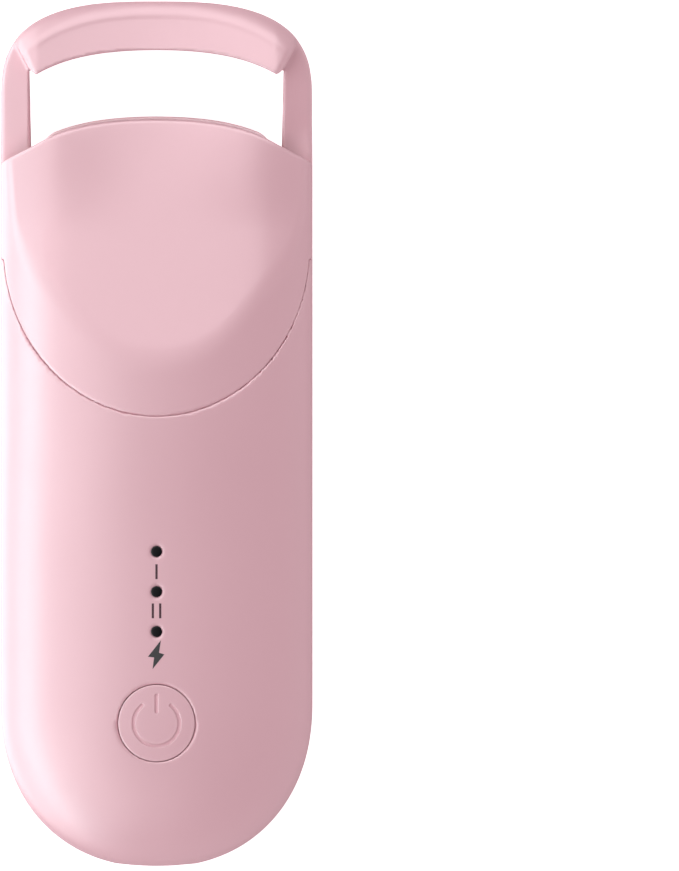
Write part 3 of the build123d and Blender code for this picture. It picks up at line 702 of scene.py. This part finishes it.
# ---------------------------------------------------------------- circuit boards
# The main board hangs under the front shell and the small charging board stands on two posts in
# the foot. Both are glass-fibre boards with green mask, copper tracks and soldered parts.
def board_finish(name, mask, track, offset):
    """Green mask with the copper tracks under it showing as a lighter pattern."""
    material = finish(name, mask, tuple(0.8 * v for v in mask), 0.30, 0.3, coat=0.4)
    nodes, links = material.node_tree.nodes, material.node_tree.links
    place = nodes.new("ShaderNodeTexCoord")
    shift = nodes.new("ShaderNodeMapping")
    shift.inputs["Location"].default_value = offset
    links.new(place.outputs["Object"], shift.inputs["Vector"])
    paths = nodes.new("ShaderNodeTexBrick")
    paths.inputs["Scale"].default_value = 260
    paths.inputs["Mortar Size"].default_value = 0.035
    paths.inputs["Mortar Smooth"].default_value = 0.1
    links.new(shift.outputs["Vector"], paths.inputs["Vector"])
    mix = nodes.new("ShaderNodeMix")
    mix.data_type = "RGBA"
    shader = nodes["Principled BSDF"]
    base = shader.inputs["Base Color"].links[0].from_socket
    links.new(base, mix.inputs["A"])
    mix.inputs["B"].default_value = (*track, 1)
    links.new(paths.outputs["Fac"], mix.inputs["Factor"])
    links.new(mix.outputs["Result"], shader.inputs["Base Color"])
    return material


for board, offset in (("main_board", (0.001, 0.002, 0)), ("charge_board", (0.003, 0.001, 0))):
    dress(board, board_finish(board + "_mask", (0.01, 0.10, 0.04), (0.03, 0.20, 0.08), offset))
amber_film = finish("amber_film", (0.50, 0.22, 0.03), (0.42, 0.17, 0.02), 0.26, 0.3, coat=0.4)
dress("board_link", amber_film)
dress("control_chips", finish("chip_epoxy", (0.018, 0.018, 0.02), (0.012, 0.012, 0.013), 0.45,
                              0.6, texture=15000))
dress("charge_coil", finish("ferrite", (0.05, 0.05, 0.055), (0.03, 0.03, 0.033), 0.4, 0.6))
tin = finish("tinned_pads", (0.66, 0.66, 0.65), (0.55, 0.55, 0.54), 0.28, 0.6, metal=1.0)


def feet_tree():
    """Bent gull-wing feet, one on each point; turned says which way a foot looks."""
    tree, given = new_tree("chip_feet", {"Reach": "Float", "Width": "Float", "Rise": "Float"})
    size = xyz(tree, given["Reach"], given["Width"], maths(tree, "MULTIPLY", given["Rise"], 0.3))
    toe = add(tree, "GeometryNodeMeshCube", size)
    heel_size = xyz(tree, maths(tree, "MULTIPLY", given["Reach"], 0.35), given["Width"],
                    given["Rise"])
    heel_block = add(tree, "GeometryNodeMeshCube", heel_size)
    heel = add(tree, "GeometryNodeTransform", heel_block.outputs[0])
    back = maths(tree, "MULTIPLY", given["Reach"], -0.33)
    lift = maths(tree, "MULTIPLY", given["Rise"], 0.35)
    tree.links.new(xyz(tree, back, 0, lift), heel.inputs["Translation"])
    both = tree.nodes.new("GeometryNodeJoinGeometry")
    tree.links.new(heel.outputs[0], both.inputs[0])
    tree.links.new(toe.outputs[0], both.inputs[0])
    placed = add(tree, "GeometryNodeInstanceOnPoints", given["Geometry"])
    tree.links.new(both.outputs[0], placed.inputs["Instance"])
    way = add(tree, "GeometryNodeInputNamedAttribute", "turned", data_type="FLOAT")
    angle = maths(tree, "MULTIPLY", way.outputs[0], math.pi / 2)
    tree.links.new(xyz(tree, 0, 0, angle), placed.inputs["Rotation"])
    close_tree(tree, placed.outputs[0], given["Material"])
    return tree


BOARD_TOP = 13.6
feet, looks = [], []
for chip_x, chip_y, half_x, count in ((6.6, -18.0, 2.0, 6), (-6.9, -22.0, 1.5, 4)):
    for k in range(count):
        along = (k - (count - 1) / 2) * 0.6
        for way, at in ((0, (chip_x + half_x + 0.2, chip_y + along)),
                        (2, (chip_x - half_x - 0.2, chip_y + along))):
            feet.append((*at, BOARD_TOP + 0.05))
            looks.append(float(way))
chip_feet = grown("chip_feet", feet_tree(), feet, tin, looks, reach=0.5 * MM, width=0.25 * MM,
                  rise=0.28 * MM)
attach(chip_feet, "body")


def scatter_tree():
    """Small soldered parts on the given points, each a ceramic block, some turned a quarter turn by
    a seeded pick.
    """
    tree, given = new_tree("board_parts", {"Length": "Float", "Seed": "Int"})
    length = given["Length"]
    half = maths(tree, "MULTIPLY", length, 0.5)
    body_part = add(tree, "GeometryNodeMeshCube", xyz(tree, length, half, maths(
        tree, "MULTIPLY", length, 0.4)))
    placed = add(tree, "GeometryNodeInstanceOnPoints", given["Geometry"])
    tree.links.new(body_part.outputs[0], placed.inputs["Instance"])
    pick = add(tree, "FunctionNodeRandomValue", data_type="INT")
    pick.inputs[4].default_value = 0
    pick.inputs[5].default_value = 1
    tree.links.new(given["Seed"], pick.inputs["Seed"])
    quarter = maths(tree, "MULTIPLY", pick.outputs[2], math.pi / 2)
    tree.links.new(xyz(tree, 0, 0, quarter), placed.inputs["Rotation"])
    close_tree(tree, placed.outputs[0], given["Material"])
    return tree


ceramic = finish("capacitor_ceramic", (0.30, 0.20, 0.12), (0.20, 0.12, 0.07), 0.4, 0.4)
part_places = [(x, y, BOARD_TOP + 0.2) for x, y in (
    (-9, -8), (-6, -12), (-9.2, -12.5), (5.5, -11), (8.8, -13), (9.4, -22.5), (4.2, -14.2),
    (-5.2, -16.5), (-8.8, -17.2), (-4.6, -27.5), (-7.2, -27.2), (-9.2, -34.5), (9.2, -35),
    (7.2, -41.6), (5.2, -44.4), (-3.6, -45.2))]
board_parts = grown("board_parts", scatter_tree(), part_places, ceramic, length=1.0 * MM, seed=7)
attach(board_parts, "body")


# ---------------------------------------------------------------- charging socket
# Drawn steel shell, black moulded tongue and sixteen gold-plated contacts, soldered to the
# charging board and centred in the foot's port.
PORT_Y0, PORT_Y1 = (corner[1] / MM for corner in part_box("socket_shell"))
drawn_steel = finish("drawn_steel", (0.60, 0.60, 0.59), (0.50, 0.50, 0.49), 0.26, 0.5, metal=1.0,
                     mottle=400, texture=5000, stretch=(1, 0.15, 1))
black_resin = finish("black_resin", (0.016, 0.016, 0.018), (0.011, 0.011, 0.012), 0.42, 0.3)
gold_plate = finish("gold_plate", (0.86, 0.60, 0.22), (0.74, 0.48, 0.15), 0.2, 0.3, metal=1.0)


def socket_can(x, y, z):
    far = np.hypot(np.maximum(np.abs(x) - 2.87, 0), z - SPLIT_Z)
    outside = meet(far - 1.6, slab(y, PORT_Y0, PORT_Y1), 0.1)
    return cut(outside, np.maximum(far - 1.3, y - PORT_Y1 + 0.7), 0.08)


def socket_tongue(x, y, z):
    low, high = (np.array(corner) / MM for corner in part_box("socket_tongue"))
    blade = meet(slab(x, low[0], high[0]), slab(y, low[1], high[1]), 0.4)
    return meet(blade, slab(z, low[2], high[2]), 0.12)


can_step = detail * 0.35
moulded("socket_can", socket_can, (
    fine_axis(-4.8, 4.8, can_step), fine_axis(PORT_Y0 - 0.4, PORT_Y1 + 0.4, can_step * 1.6),
    fine_axis(6.1, 9.9, can_step)), drawn_steel, "body", ["socket_shell"], relax=1)
moulded("socket_tongue_blade", socket_tongue, (
    fine_axis(-3.7, 3.7, can_step), fine_axis(-53.8, -47.0, can_step * 1.6),
    fine_axis(7.4, 8.6, can_step * 0.6)), black_resin, "body", ["socket_tongue"], relax=1)


def contact_tree():
    """Flat contact blades, narrowed towards both ends, one on each point."""
    tree, given = new_tree("contacts", {"Width": "Float", "Length": "Float", "Height": "Float"})
    blade = add(tree, "GeometryNodeMeshCube", xyz(tree, given["Width"], given["Length"],
                                                  given["Height"]), 3, 9, 2)
    at = add(tree, "ShaderNodeSeparateXYZ", add(tree, "GeometryNodeInputPosition").outputs[0])
    share = maths(tree, "DIVIDE", at.outputs[1], given["Length"])
    off_middle = maths(tree, "POWER", maths(tree, "ABSOLUTE", share), 4.0)
    narrow = maths(tree, "MULTIPLY", off_middle, -6.0)
    slim = maths(tree, "MULTIPLY", narrow, at.outputs[0])
    shaped = add(tree, "GeometryNodeSetPosition", blade.outputs[0])
    tree.links.new(xyz(tree, slim, 0, 0), shaped.inputs["Offset"])
    placed = add(tree, "GeometryNodeInstanceOnPoints", given["Geometry"])
    tree.links.new(shaped.outputs[0], placed.inputs["Instance"])
    close_tree(tree, placed.outputs[0], given["Material"])
    return tree


contact_places = [((k - 3.5) * 0.8, -50.95, SPLIT_Z + side * 0.395)
                  for k in range(8) for side in (-1, 1)]
contacts = grown("socket_contact_blades", contact_tree(), contact_places, gold_plate,
                 width=0.3 * MM, length=4.7 * MM, height=0.07 * MM)
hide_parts("socket_contacts")
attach(contacts, "body")


# ---------------------------------------------------------------- switch, lamps and shroud
# Tactile switch with its plunger under the button, three lamps on the board, and the black
# shroud that keeps each lamp's light to its own lens. A soft seal rings the button.
dress("switch_body", finish("switch_case", (0.03, 0.03, 0.033), (0.02, 0.02, 0.022), 0.4, 0.4))
dress("switch_plunger", finish("plunger_resin", (0.60, 0.58, 0.52), (0.54, 0.52, 0.46), 0.4, 0.2))
dress("light_shroud", black_resin)
dress("indicator_lamps", finish("lamp_resin", (0.80, 0.78, 0.60), (0.74, 0.70, 0.45), 0.2, 0.2,
                                coat=0.5))
dress("button_seal", finish("seal_silicone", (0.45, 0.42, 0.42), (0.40, 0.37, 0.37), 0.6, 0.3))


# ---------------------------------------------------------------- screws
# Zinc-plated steel screws with domed cross-recess heads and rolled threads: four close the case
# from behind, six hold the boards and two hold the slider's cover to its carriage.
screw_zinc = finish("zinc_plate", (0.56, 0.57, 0.58), (0.44, 0.45, 0.47), 0.28, 0.5, metal=1.0,
                    mottle=900, texture=7000)


def screw_tree():
    """A screw on each point: its head's underside there, its shank up, or down where turned."""
    tree, given = new_tree("cross_recess_screw", {
        "Head Radius": "Float", "Head Height": "Float", "Shank Radius": "Float",
        "Length": "Float", "Pitch": "Float"})
    head_r, head_h = given["Head Radius"], given["Head Height"]
    head = add(tree, "GeometryNodeMeshCylinder", 40, 3, 7, head_r, head_h)
    place = add(tree, "GeometryNodeInputPosition").outputs[0]
    at = add(tree, "ShaderNodeSeparateXYZ", place)
    reach = add(tree, "ShaderNodeVectorMath", place, operation="MULTIPLY")
    reach.inputs[1].default_value = (1, 1, 0)
    radius = add(tree, "ShaderNodeVectorMath", reach.outputs[0], operation="LENGTH")
    share = maths(tree, "DIVIDE", radius.outputs["Value"], head_r)
    outer = maths(tree, "SUBTRACT", 0.5, maths(tree, "DIVIDE", at.outputs[2], head_h))
    dome = maths(tree, "MULTIPLY", maths(tree, "POWER", share, 3.0), outer)
    lift = maths(tree, "MULTIPLY", maths(tree, "MULTIPLY", dome, head_h), 0.42)
    domed = add(tree, "GeometryNodeSetPosition", head.outputs["Mesh"])
    tree.links.new(xyz(tree, 0, 0, lift), domed.inputs["Offset"])
    arm = xyz(tree, maths(tree, "MULTIPLY", head_r, 1.15), maths(tree, "MULTIPLY", head_r, 0.24),
              head_h)
    recess = add(tree, "GeometryNodeMeshBoolean", operation="DIFFERENCE")
    tree.links.new(domed.outputs[0], recess.inputs[0])
    for turn in (0.0, math.pi / 2):
        wing = add(tree, "GeometryNodeTransform", add(tree, "GeometryNodeMeshCube", arm).outputs[0])
        wing.inputs["Rotation"].default_value = (0, 0, turn)
        tree.links.new(xyz(tree, 0, 0, maths(tree, "MULTIPLY", head_h, -0.45)),
                       wing.inputs["Translation"])
        tree.links.new(wing.outputs[0], recess.inputs[1])
    seated = add(tree, "GeometryNodeTransform", recess.outputs[0])
    tree.links.new(xyz(tree, 0, 0, maths(tree, "MULTIPLY", head_h, -0.5)),
                   seated.inputs["Translation"])

    shank = add(tree, "GeometryNodeMeshCylinder", 20, 90, 1, given["Shank Radius"], given["Length"])
    spot = add(tree, "ShaderNodeSeparateXYZ", add(tree, "GeometryNodeInputPosition").outputs[0])
    angle = maths(tree, "ARCTAN2", spot.outputs[1], spot.outputs[0])
    turns = maths(tree, "DIVIDE", spot.outputs[2], given["Pitch"])
    climb = maths(tree, "MULTIPLY", turns, 2 * math.pi)
    ripple = maths(tree, "COSINE", maths(tree, "SUBTRACT", climb, angle))
    depth = maths(tree, "MULTIPLY", maths(tree, "SUBTRACT", ripple, 1.0), 0.09)
    taper = maths(tree, "DIVIDE", spot.outputs[2], given["Length"])
    beyond = maths(tree, "MAXIMUM", maths(tree, "SUBTRACT", taper, 0.4), 0.0)
    point = maths(tree, "MULTIPLY", beyond, -4.0)
    slim = maths(tree, "ADD", depth, point)
    rolled = add(tree, "GeometryNodeSetPosition", shank.outputs["Mesh"])
    tree.links.new(xyz(tree, maths(tree, "MULTIPLY", spot.outputs[0], slim),
                       maths(tree, "MULTIPLY", spot.outputs[1], slim), 0), rolled.inputs["Offset"])
    raised = add(tree, "GeometryNodeTransform", rolled.outputs[0])
    tree.links.new(xyz(tree, 0, 0, maths(tree, "MULTIPLY", given["Length"], 0.5)),
                   raised.inputs["Translation"])
    both = tree.nodes.new("GeometryNodeJoinGeometry")
    tree.links.new(seated.outputs[0], both.inputs[0])
    tree.links.new(raised.outputs[0], both.inputs[0])
    placed = add(tree, "GeometryNodeInstanceOnPoints", given["Geometry"])
    tree.links.new(both.outputs[0], placed.inputs["Instance"])
    way = add(tree, "GeometryNodeInputNamedAttribute", "turned", data_type="FLOAT")
    tree.links.new(xyz(tree, maths(tree, "MULTIPLY", way.outputs[0], math.pi), 0, 0),
                   placed.inputs["Rotation"])
    close_tree(tree, placed.outputs[0], given["Material"])
    return tree


screw_maker = screw_tree()


def screws(name, node, body, places, turned, head_r, head_h, shank_r, length):
    piece = grown(name, screw_maker, places, screw_zinc, turned, head_radius=head_r * MM,
                  head_height=head_h * MM, shank_radius=shank_r * MM, length=length * MM,
                  pitch=0.55 * MM)
    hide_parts(node)
    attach(piece, body)


BOARD_SCREW_X, BOARD_SCREW_Y = 8.4, (-8.6, -31.5)
screws("case_screws", "housing_screws", "body",
       [(side * x, y, SCREW_SEAT_Z) for x, y in SHELL_SCREWS for side in (-1, 1)], [0.0] * 4,
       1.9, 1.3, 0.85, 11.0)
board_places = [(side * BOARD_SCREW_X, y, 12.6) for y in BOARD_SCREW_Y for side in (-1, 1)]
board_places += [(side * CHARGE_POST[0], CHARGE_POST[1], 6.4) for side in (-1, 1)]
screws("circuit_board_screws", "board_screws", "body", board_places, [0.0] * 4 + [1.0] * 2,
       1.3, 0.9, 0.5, 3.4)
screws("slider_screws", "carriage_screws", "slider", [(side * 6.0, 14.0, 8.4) for side in (-1, 1)],
       [0.0] * 2, 1.5, 0.9, 0.5, 6.5)


# ---------------------------------------------------------------- heated lower jaw's pad
# Silicone strip that presses the lashes against the upper jaw, bent to the eye, with rounded
# lips. It is pushed on to the aluminium spreader on the slider's carriage.
JAW_Z, JAW_DEEP = 6.8, 4.0
silicone = finish("pink_silicone", (0.78, 0.48, 0.53), (0.74, 0.45, 0.50), 0.55, 0.3,
                  texture=6000, worn=(0.82, 0.54, 0.58))


def heating_pad(x, y, z):
    bend = np.abs(np.hypot(x, z - JAW_Z - JAW_RADIUS) - JAW_RADIUS) - JAW_DEEP / 2
    fall = np.sqrt(1 + (JAW_LEAN * x) ** 2)
    top = (y - PAD_Y + jaw_drop(x)) / fall
    low = (PAD_Y - 1.9 - jaw_drop(x) - y) / fall
    strip = meet(meet(bend, top, 0.35), low, 0.2)
    return meet(strip, np.abs(x) - JAW_HALF + 0.1, 2.4)


pad_axes = (
    fine_axis(-15.8, 15.8, detail * 0.6),
    fine_axis(35.0, 41.3, detail * 0.5),
    fine_axis(4.2, 12.4, detail * 0.6),
)
moulded("heating_pad_strip", heating_pad, pad_axes, silicone, "slider", ["heating_pad"])


# ---------------------------------------------------------------- carriage and heater
# Natural acetal carriage on the rods. Behind the pad it carries the aluminium spreader, the etched
# heater film and the temperature sensor, fed by a flat cable laid in a rolling loop.
dress("slide_carriage", finish("natural_acetal", (0.70, 0.67, 0.62), (0.64, 0.61, 0.56), 0.36, 0.3,
                               mottle=90))
dress("heat_spreader", finish("milled_aluminium", (0.70, 0.71, 0.72), (0.60, 0.61, 0.62), 0.3, 0.6,
                              metal=1.0, texture=4000, stretch=(0.1, 1, 1)))
dress("heater_film", amber_film)
dress("heat_sensor", finish("sensor_bead", (0.03, 0.03, 0.032), (0.02, 0.02, 0.022), 0.3, 0.3,
                            coat=0.6))


def ribbon_path():
    """The flat cable's middle line: under the board, round the rolling loop, along the deck."""
    top_z, low_z, loop_y = 12.48, 9.2, -20.0
    middle, bend = (top_z + low_z) / 2, (top_z - low_z) / 2
    line = [(y, top_z) for y in np.linspace(-7.0, loop_y, 14)]
    line += [(loop_y - bend * math.sin(a), middle + bend * math.cos(a))
             for a in np.linspace(0.1, math.pi - 0.1, 24)]
    line += [(y, low_z) for y in np.linspace(loop_y, 35.0, 44)]
    return np.array(line)


def flat_cable(line, half_width, half_thick):
    """Points and faces of a flat cable along a line in the YZ plane."""
    way = np.gradient(line, axis=0)
    way /= np.linalg.norm(way, axis=1)[:, None]
    out = np.stack([way[:, 1], -way[:, 0]], 1)
    points, faces = [], []
    for (y, z), (ny, nz) in zip(line, out):
        for sx, sn in ((-1, -1), (1, -1), (1, 1), (-1, 1)):
            points.append((sx * half_width, y + sn * ny * half_thick, z + sn * nz * half_thick))
    for i in range(len(line) - 1):
        for k in range(4):
            n = (k + 1) % 4
            faces.append((i * 4 + k, (i + 1) * 4 + k, (i + 1) * 4 + n, i * 4 + n))
    faces.append((0, 1, 2, 3))
    last = 4 * (len(line) - 1)
    faces.append((last + 3, last + 2, last + 1, last))
    return points, faces


ribbon = mesh_piece("heater_flat_cable", *flat_cable(ribbon_path(), 2.5, 0.09), amber_film, False)
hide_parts("heater_ribbon")
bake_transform(ribbon)


# ---------------------------------------------------------------- front shell
# Second half of the case, the same satin pink plastic, screwed on from behind. It swells towards
# the slider, leaves a rounded bay for it, and has the button's hole and the charging port.
BODY_TOP = 20.2
BUTTON_Y = -36.9
LENS_Y = (-14.97, -20.1, -25.2)
HORN_Y = 22.4


def front_crown(y):
    return BODY_TOP + (RIDGE_TOP - BODY_TOP) * smooth((y + 16) / 20)


def front(x, y, z, inset):
    """Value of the front's form: a soft arch across, rounded off at the foot."""
    power = 2.25 - 0.05 * smooth((y + 10) / 32)
    section = norm(x / (HALF_W - inset), (z - SPLIT_Z) / (front_crown(y) - SPLIT_Z - inset), power)
    foot = np.maximum(FOOT_Y - y, 0) / (FOOT_REACH - inset)
    return norm(section, foot, FOOT_POWER) - 1


def bay(x, y, z, gap):
    """Value of the slider's rounded foot, seen from the front."""
    return norm(x / (19.6 - gap), (y - 24.0) / (21.7 - gap), 2.0) - 1


def front_shell(x, y, z):
    across = np.abs(x)
    face = distance(front, x, y, z, 0.0)
    whole = meet(face, SPLIT_Z - z, 0.12)
    whole = cut(whole, distance(front, x, y, z, WALL), 0.2)
    for at in SHELL_SCREWS:
        boss = np.maximum(peg(across, y, z, at, SPLIT_Z, 19, 2.3), face + 0.5)
        whole = join(whole, boss, 0.3)
        whole = cut(whole, peg(across, y, z, at, 6, 13.5, 0.85), 0.1)
    for py in BOARD_SCREW_Y:
        at = (BOARD_SCREW_X, py)
        post = np.maximum(peg(across, y, z, at, BOARD_TOP, 19, 1.6), face + 0.5)
        whole = join(whole, post, 0.3)
        whole = cut(whole, peg(across, y, z, at, 12, 17, 0.6), 0.05)
    slot = np.minimum(distance(bay, x, y, z, 0.0), HORN_Y - y)
    whole = cut(whole, slot, 0.1)
    whole = cut(whole, peg(x, y, z, (0, BUTTON_Y), 14, 25, 4.97), 0.12)
    for py in LENS_Y:
        whole = np.maximum(whole, -peg(x, y, z, (0, py), 14, 25, 0.66))
    return cut(whole, port(x, y, z), 0.25)


shell_axes = (
    fine_axis(-20.6, 20.6, detail, ((-20.6, -17.4, detail * 0.33), (-5.4, 5.4, detail * 0.75),
                                    (17.4, 20.6, detail * 0.33))),
    fine_axis(-56.2, 23.2, detail, ((-42.5, -31.5, detail * 0.75), (0.5, 23.2, detail * 0.75))),
    fine_axis(7.3, 22.2, detail),
)
moulded("front_shell_moulding", front_shell, shell_axes, pink, "body", ["front_shell"])


# ---------------------------------------------------------------- indicator lenses and signs
# Three smoked acrylic light guides pressed into the shell from inside, and pad-printed signs
# beside them: one bar and two bars for the heat levels, a bolt for charging.
smoked = finish("smoked_acrylic", (0.004, 0.004, 0.005), (0.003, 0.003, 0.004), 0.35, 0.05)
ink = finish("grey_ink", (0.085, 0.040, 0.050), (0.070, 0.032, 0.042), 0.6, 0.4)
bolt_ink = finish("dark_ink", (0.050, 0.048, 0.050), (0.040, 0.038, 0.040), 0.6, 0.4)
for dark in (smoked, ink, bolt_ink):
    dark.node_tree.nodes["Principled BSDF"].inputs["Specular IOR Level"].default_value = 0.12


def front_top(y):
    """Height of the front along its middle."""
    foot = np.maximum(FOOT_Y - y, 0) / FOOT_REACH
    return SPLIT_Z + (front_crown(y) - SPLIT_Z) * (1 - foot ** FOOT_POWER) ** (1 / FOOT_POWER)


def lens_form(at_y):
    def lens(x, y, z):
        radius = np.hypot(x, y - at_y)
        dome = z - front_top(at_y) - 0.03 + 0.05 * radius ** 2
        head = meet(np.maximum(radius - 0.7, 17.4 - z), dome, 0.08)
        flange = meet(radius - 1.25, slab(z, 17.5, 18.25), 0.05)
        stem = meet(radius - 0.85, slab(z, 14.9, 17.8), 0.05)
        return np.minimum(np.minimum(head, flange), stem)
    return lens


lens_step = detail * 0.25
for word, at_y in zip(("low_heat", "high_heat", "charge"), LENS_Y):
    moulded("light_guide_" + word, lens_form(at_y), (
        fine_axis(-1.6, 1.6, lens_step), fine_axis(at_y - 1.6, at_y + 1.6, lens_step),
        fine_axis(14.6, 21.2, lens_step * 1.4)), smoked, "body", ["lens_" + word], relax=1)


def printed(name, outline, material):
    """A thin printed patch on the front, from its outline in plan."""
    points, faces = [], []
    count = len(outline)
    for lift in (-0.05, 0.015):
        for x, y in outline:
            height = norm(np.array(x / HALF_W), 0.0, 2.25)
            drop = (1 - height ** 2.25) ** (1 / 2.25)
            points.append((x, y, SPLIT_Z + (front_top(y) - SPLIT_Z) * drop + lift))
    area = sum(outline[i - 1][0] * outline[i][1] - outline[i][0] * outline[i - 1][1]
               for i in range(count))
    order = list(range(count)) if area > 0 else list(range(count - 1, -1, -1))
    faces.append([count + i for i in order])
    faces.append([i for i in reversed(order)])
    for k in range(count):
        a, b = order[k], order[(k + 1) % count]
        faces.append([a, b, count + b, count + a])
    patch = mesh_piece(name, points, faces, material, False)
    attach(patch, "body")


def stroke(x, y0, y1, half=0.145):
    return [(x - half, y0), (x + half, y0), (x + half, y1), (x - half, y1)]


printed("sign_one_bar", stroke(0.0, -18.5, -16.6), ink)
printed("sign_two_bars_left", stroke(-0.47, -23.5, -21.6), ink)
printed("sign_two_bars_right", stroke(0.47, -23.5, -21.6), ink)
printed("sign_bolt", [(0.56, -26.3), (-1.09, -28.4), (-0.31, -28.5), (-0.51, -30.0),
                      (1.0, -28.1), (0.32, -27.9)], bolt_ink)


# ---------------------------------------------------------------- thumb slider
# The pink cover that the thumb pushes: a long hollow ramp with rounded shoulders. Two screws hold
# it to the carriage; its rounded foot runs in the front shell's bay with a thin gap all round.
GAP = 0.02
RAMP_Y, RAMP_SLOPE = 9.7, 0.27
SHOULDER_X, SHOULDER_FALL, SHOULDER_SOFT = 13.6, 0.28, 2.0
RAMP_WALL = 1.65
COVER_BOSS = (6.0, 14.0)


def ramp_z(x, y):
    """Height of the thumb ramp: a flat slope, dished towards the jaws, with sloping shoulders."""
    dish = smooth((y - 26) / 14) * x * x / (2 * JAW_RADIUS) / np.hypot(1, (x / 13) ** 2)
    past = np.abs(x) - SHOULDER_X
    shoulder = SHOULDER_FALL * (past + np.hypot(past, SHOULDER_SOFT))
    return RIDGE_TOP - RAMP_SLOPE * (y - RAMP_Y) + dish - shoulder


def ramp(x, y, z, sink):
    return z - ramp_z(x, y) + sink


def ridge(x, y, z, inset):
    return norm(x / (HALF_W - inset), (z - SPLIT_Z) / (RIDGE_TOP - SPLIT_Z - inset), 2.2) - 1


def slider_cover(x, y, z):
    across = np.abs(x)
    thumb = distance(ramp, x, y, z, 0.0)
    whole = meet(distance(ridge, x, y, z, 0.0), thumb, 0.45)
    fall = np.sqrt(1 + (JAW_LEAN * np.minimum(across, 16)) ** 2)
    lip = (y - (PAD_Y - 0.44 - jaw_drop(x))) / fall
    whole = meet(whole, lip, 0.35)
    foot = np.minimum(distance(bay, x, y, z, GAP), HORN_Y + GAP - y)
    whole = meet(whole, foot, 0.1)
    whole = meet(whole, SPLIT_Z + 0.2 - z, 0.15)
    under_ramp = distance(ramp, x, y, z, RAMP_WALL)
    inner = np.maximum(distance(ridge, x, y, z, WALL), under_ramp)
    inner_foot = np.minimum(distance(bay, x, y, z, GAP + WALL), HORN_Y + GAP + WALL - y)
    hollow = np.maximum(inner, inner_foot)
    under = np.maximum(distance(ridge, x, y, z, 2.9), under_ramp)
    whole = cut(whole, hollow, 0.2)
    whole = cut(whole, under, 0.15)
    boss = np.maximum(peg(across, y, z, COVER_BOSS, 9.6, 20, 1.9), inner - 0.5)
    whole = join(whole, boss, 0.3)
    return cut(whole, peg(across, y, z, COVER_BOSS, 8, 15.5, 0.6), 0.05)


cover_axes = (
    fine_axis(-20.6, 20.6, detail * 0.85, ((-20.6, -17.4, detail * 0.4),
                                           (17.4, 20.6, detail * 0.4))),
    fine_axis(1.5, 41.3, detail * 0.85),
    fine_axis(7.7, 22.1, detail * 0.85),
)
moulded("slider_cover_moulding", slider_cover, cover_axes, pink, "slider", ["slider_cover"])


# ---------------------------------------------------------------- slide shutter
# Thin pink nylon sheet fixed under the front shell. It closes the bay behind the slider's foot
# when the slider is pushed forward.
dress("slide_shutter", finish("pink_nylon", (0.66, 0.37, 0.42), (0.63, 0.35, 0.40), 0.45, 0.3))


# ---------------------------------------------------------------- power button
# A round key in the same pink plastic with a standby sign sunk into its face. It presses the
# switch's plunger through a soft seal and stands flush with the shell.
BUTTON_R = 4.9


def standby_sign(x, y):
    """Distance from a broken ring with an upright bar in its gap."""
    ring_r, gap_angle = 2.92, math.radians(39)
    dx, dy = np.abs(x), y - BUTTON_Y
    angle = np.arctan2(dx, dy)
    end_x, end_y = ring_r * math.sin(gap_angle), ring_r * math.cos(gap_angle)
    ring = np.where(angle > gap_angle, np.abs(np.hypot(dx, dy) - ring_r),
                    np.hypot(dx - end_x, dy - end_y)) - 0.2
    stem = np.hypot(dx, dy - np.clip(dy, 1.45, 3.55)) - 0.19
    return np.minimum(ring, stem)


def power_button(x, y, z):
    face = distance(front, x, y, z, 0.0)
    radius = np.hypot(x, y - BUTTON_Y)
    cap = meet(meet(face, radius - BUTTON_R, 0.12), 16.6 - z, 0.1)
    sunk = np.maximum(standby_sign(x, y), -0.2 - face)
    cap = cut(cap, sunk, 0.05)
    flange = np.maximum(radius - 5.7, slab(z, 16.6, 17.35))
    cup = np.maximum(np.maximum(radius - 3.6, 1.6 - radius), slab(z, 15, 18.2))
    stem = np.maximum(radius - 1.6, slab(z, 16.25, 17.5))
    whole = join(cap, flange, 0.15)
    whole = cut(whole, cup, 0.1)
    return join(whole, stem, 0.1)


button_step = detail * 0.28
button_axes = (
    fine_axis(-6.0, 6.0, button_step),
    fine_axis(BUTTON_Y - 6.0, BUTTON_Y + 6.0, button_step),
    fine_axis(16.0, 20.6, button_step),
)
moulded("power_button_key", power_button, button_axes, pink, "button", ["power_button"],
        relax=1)
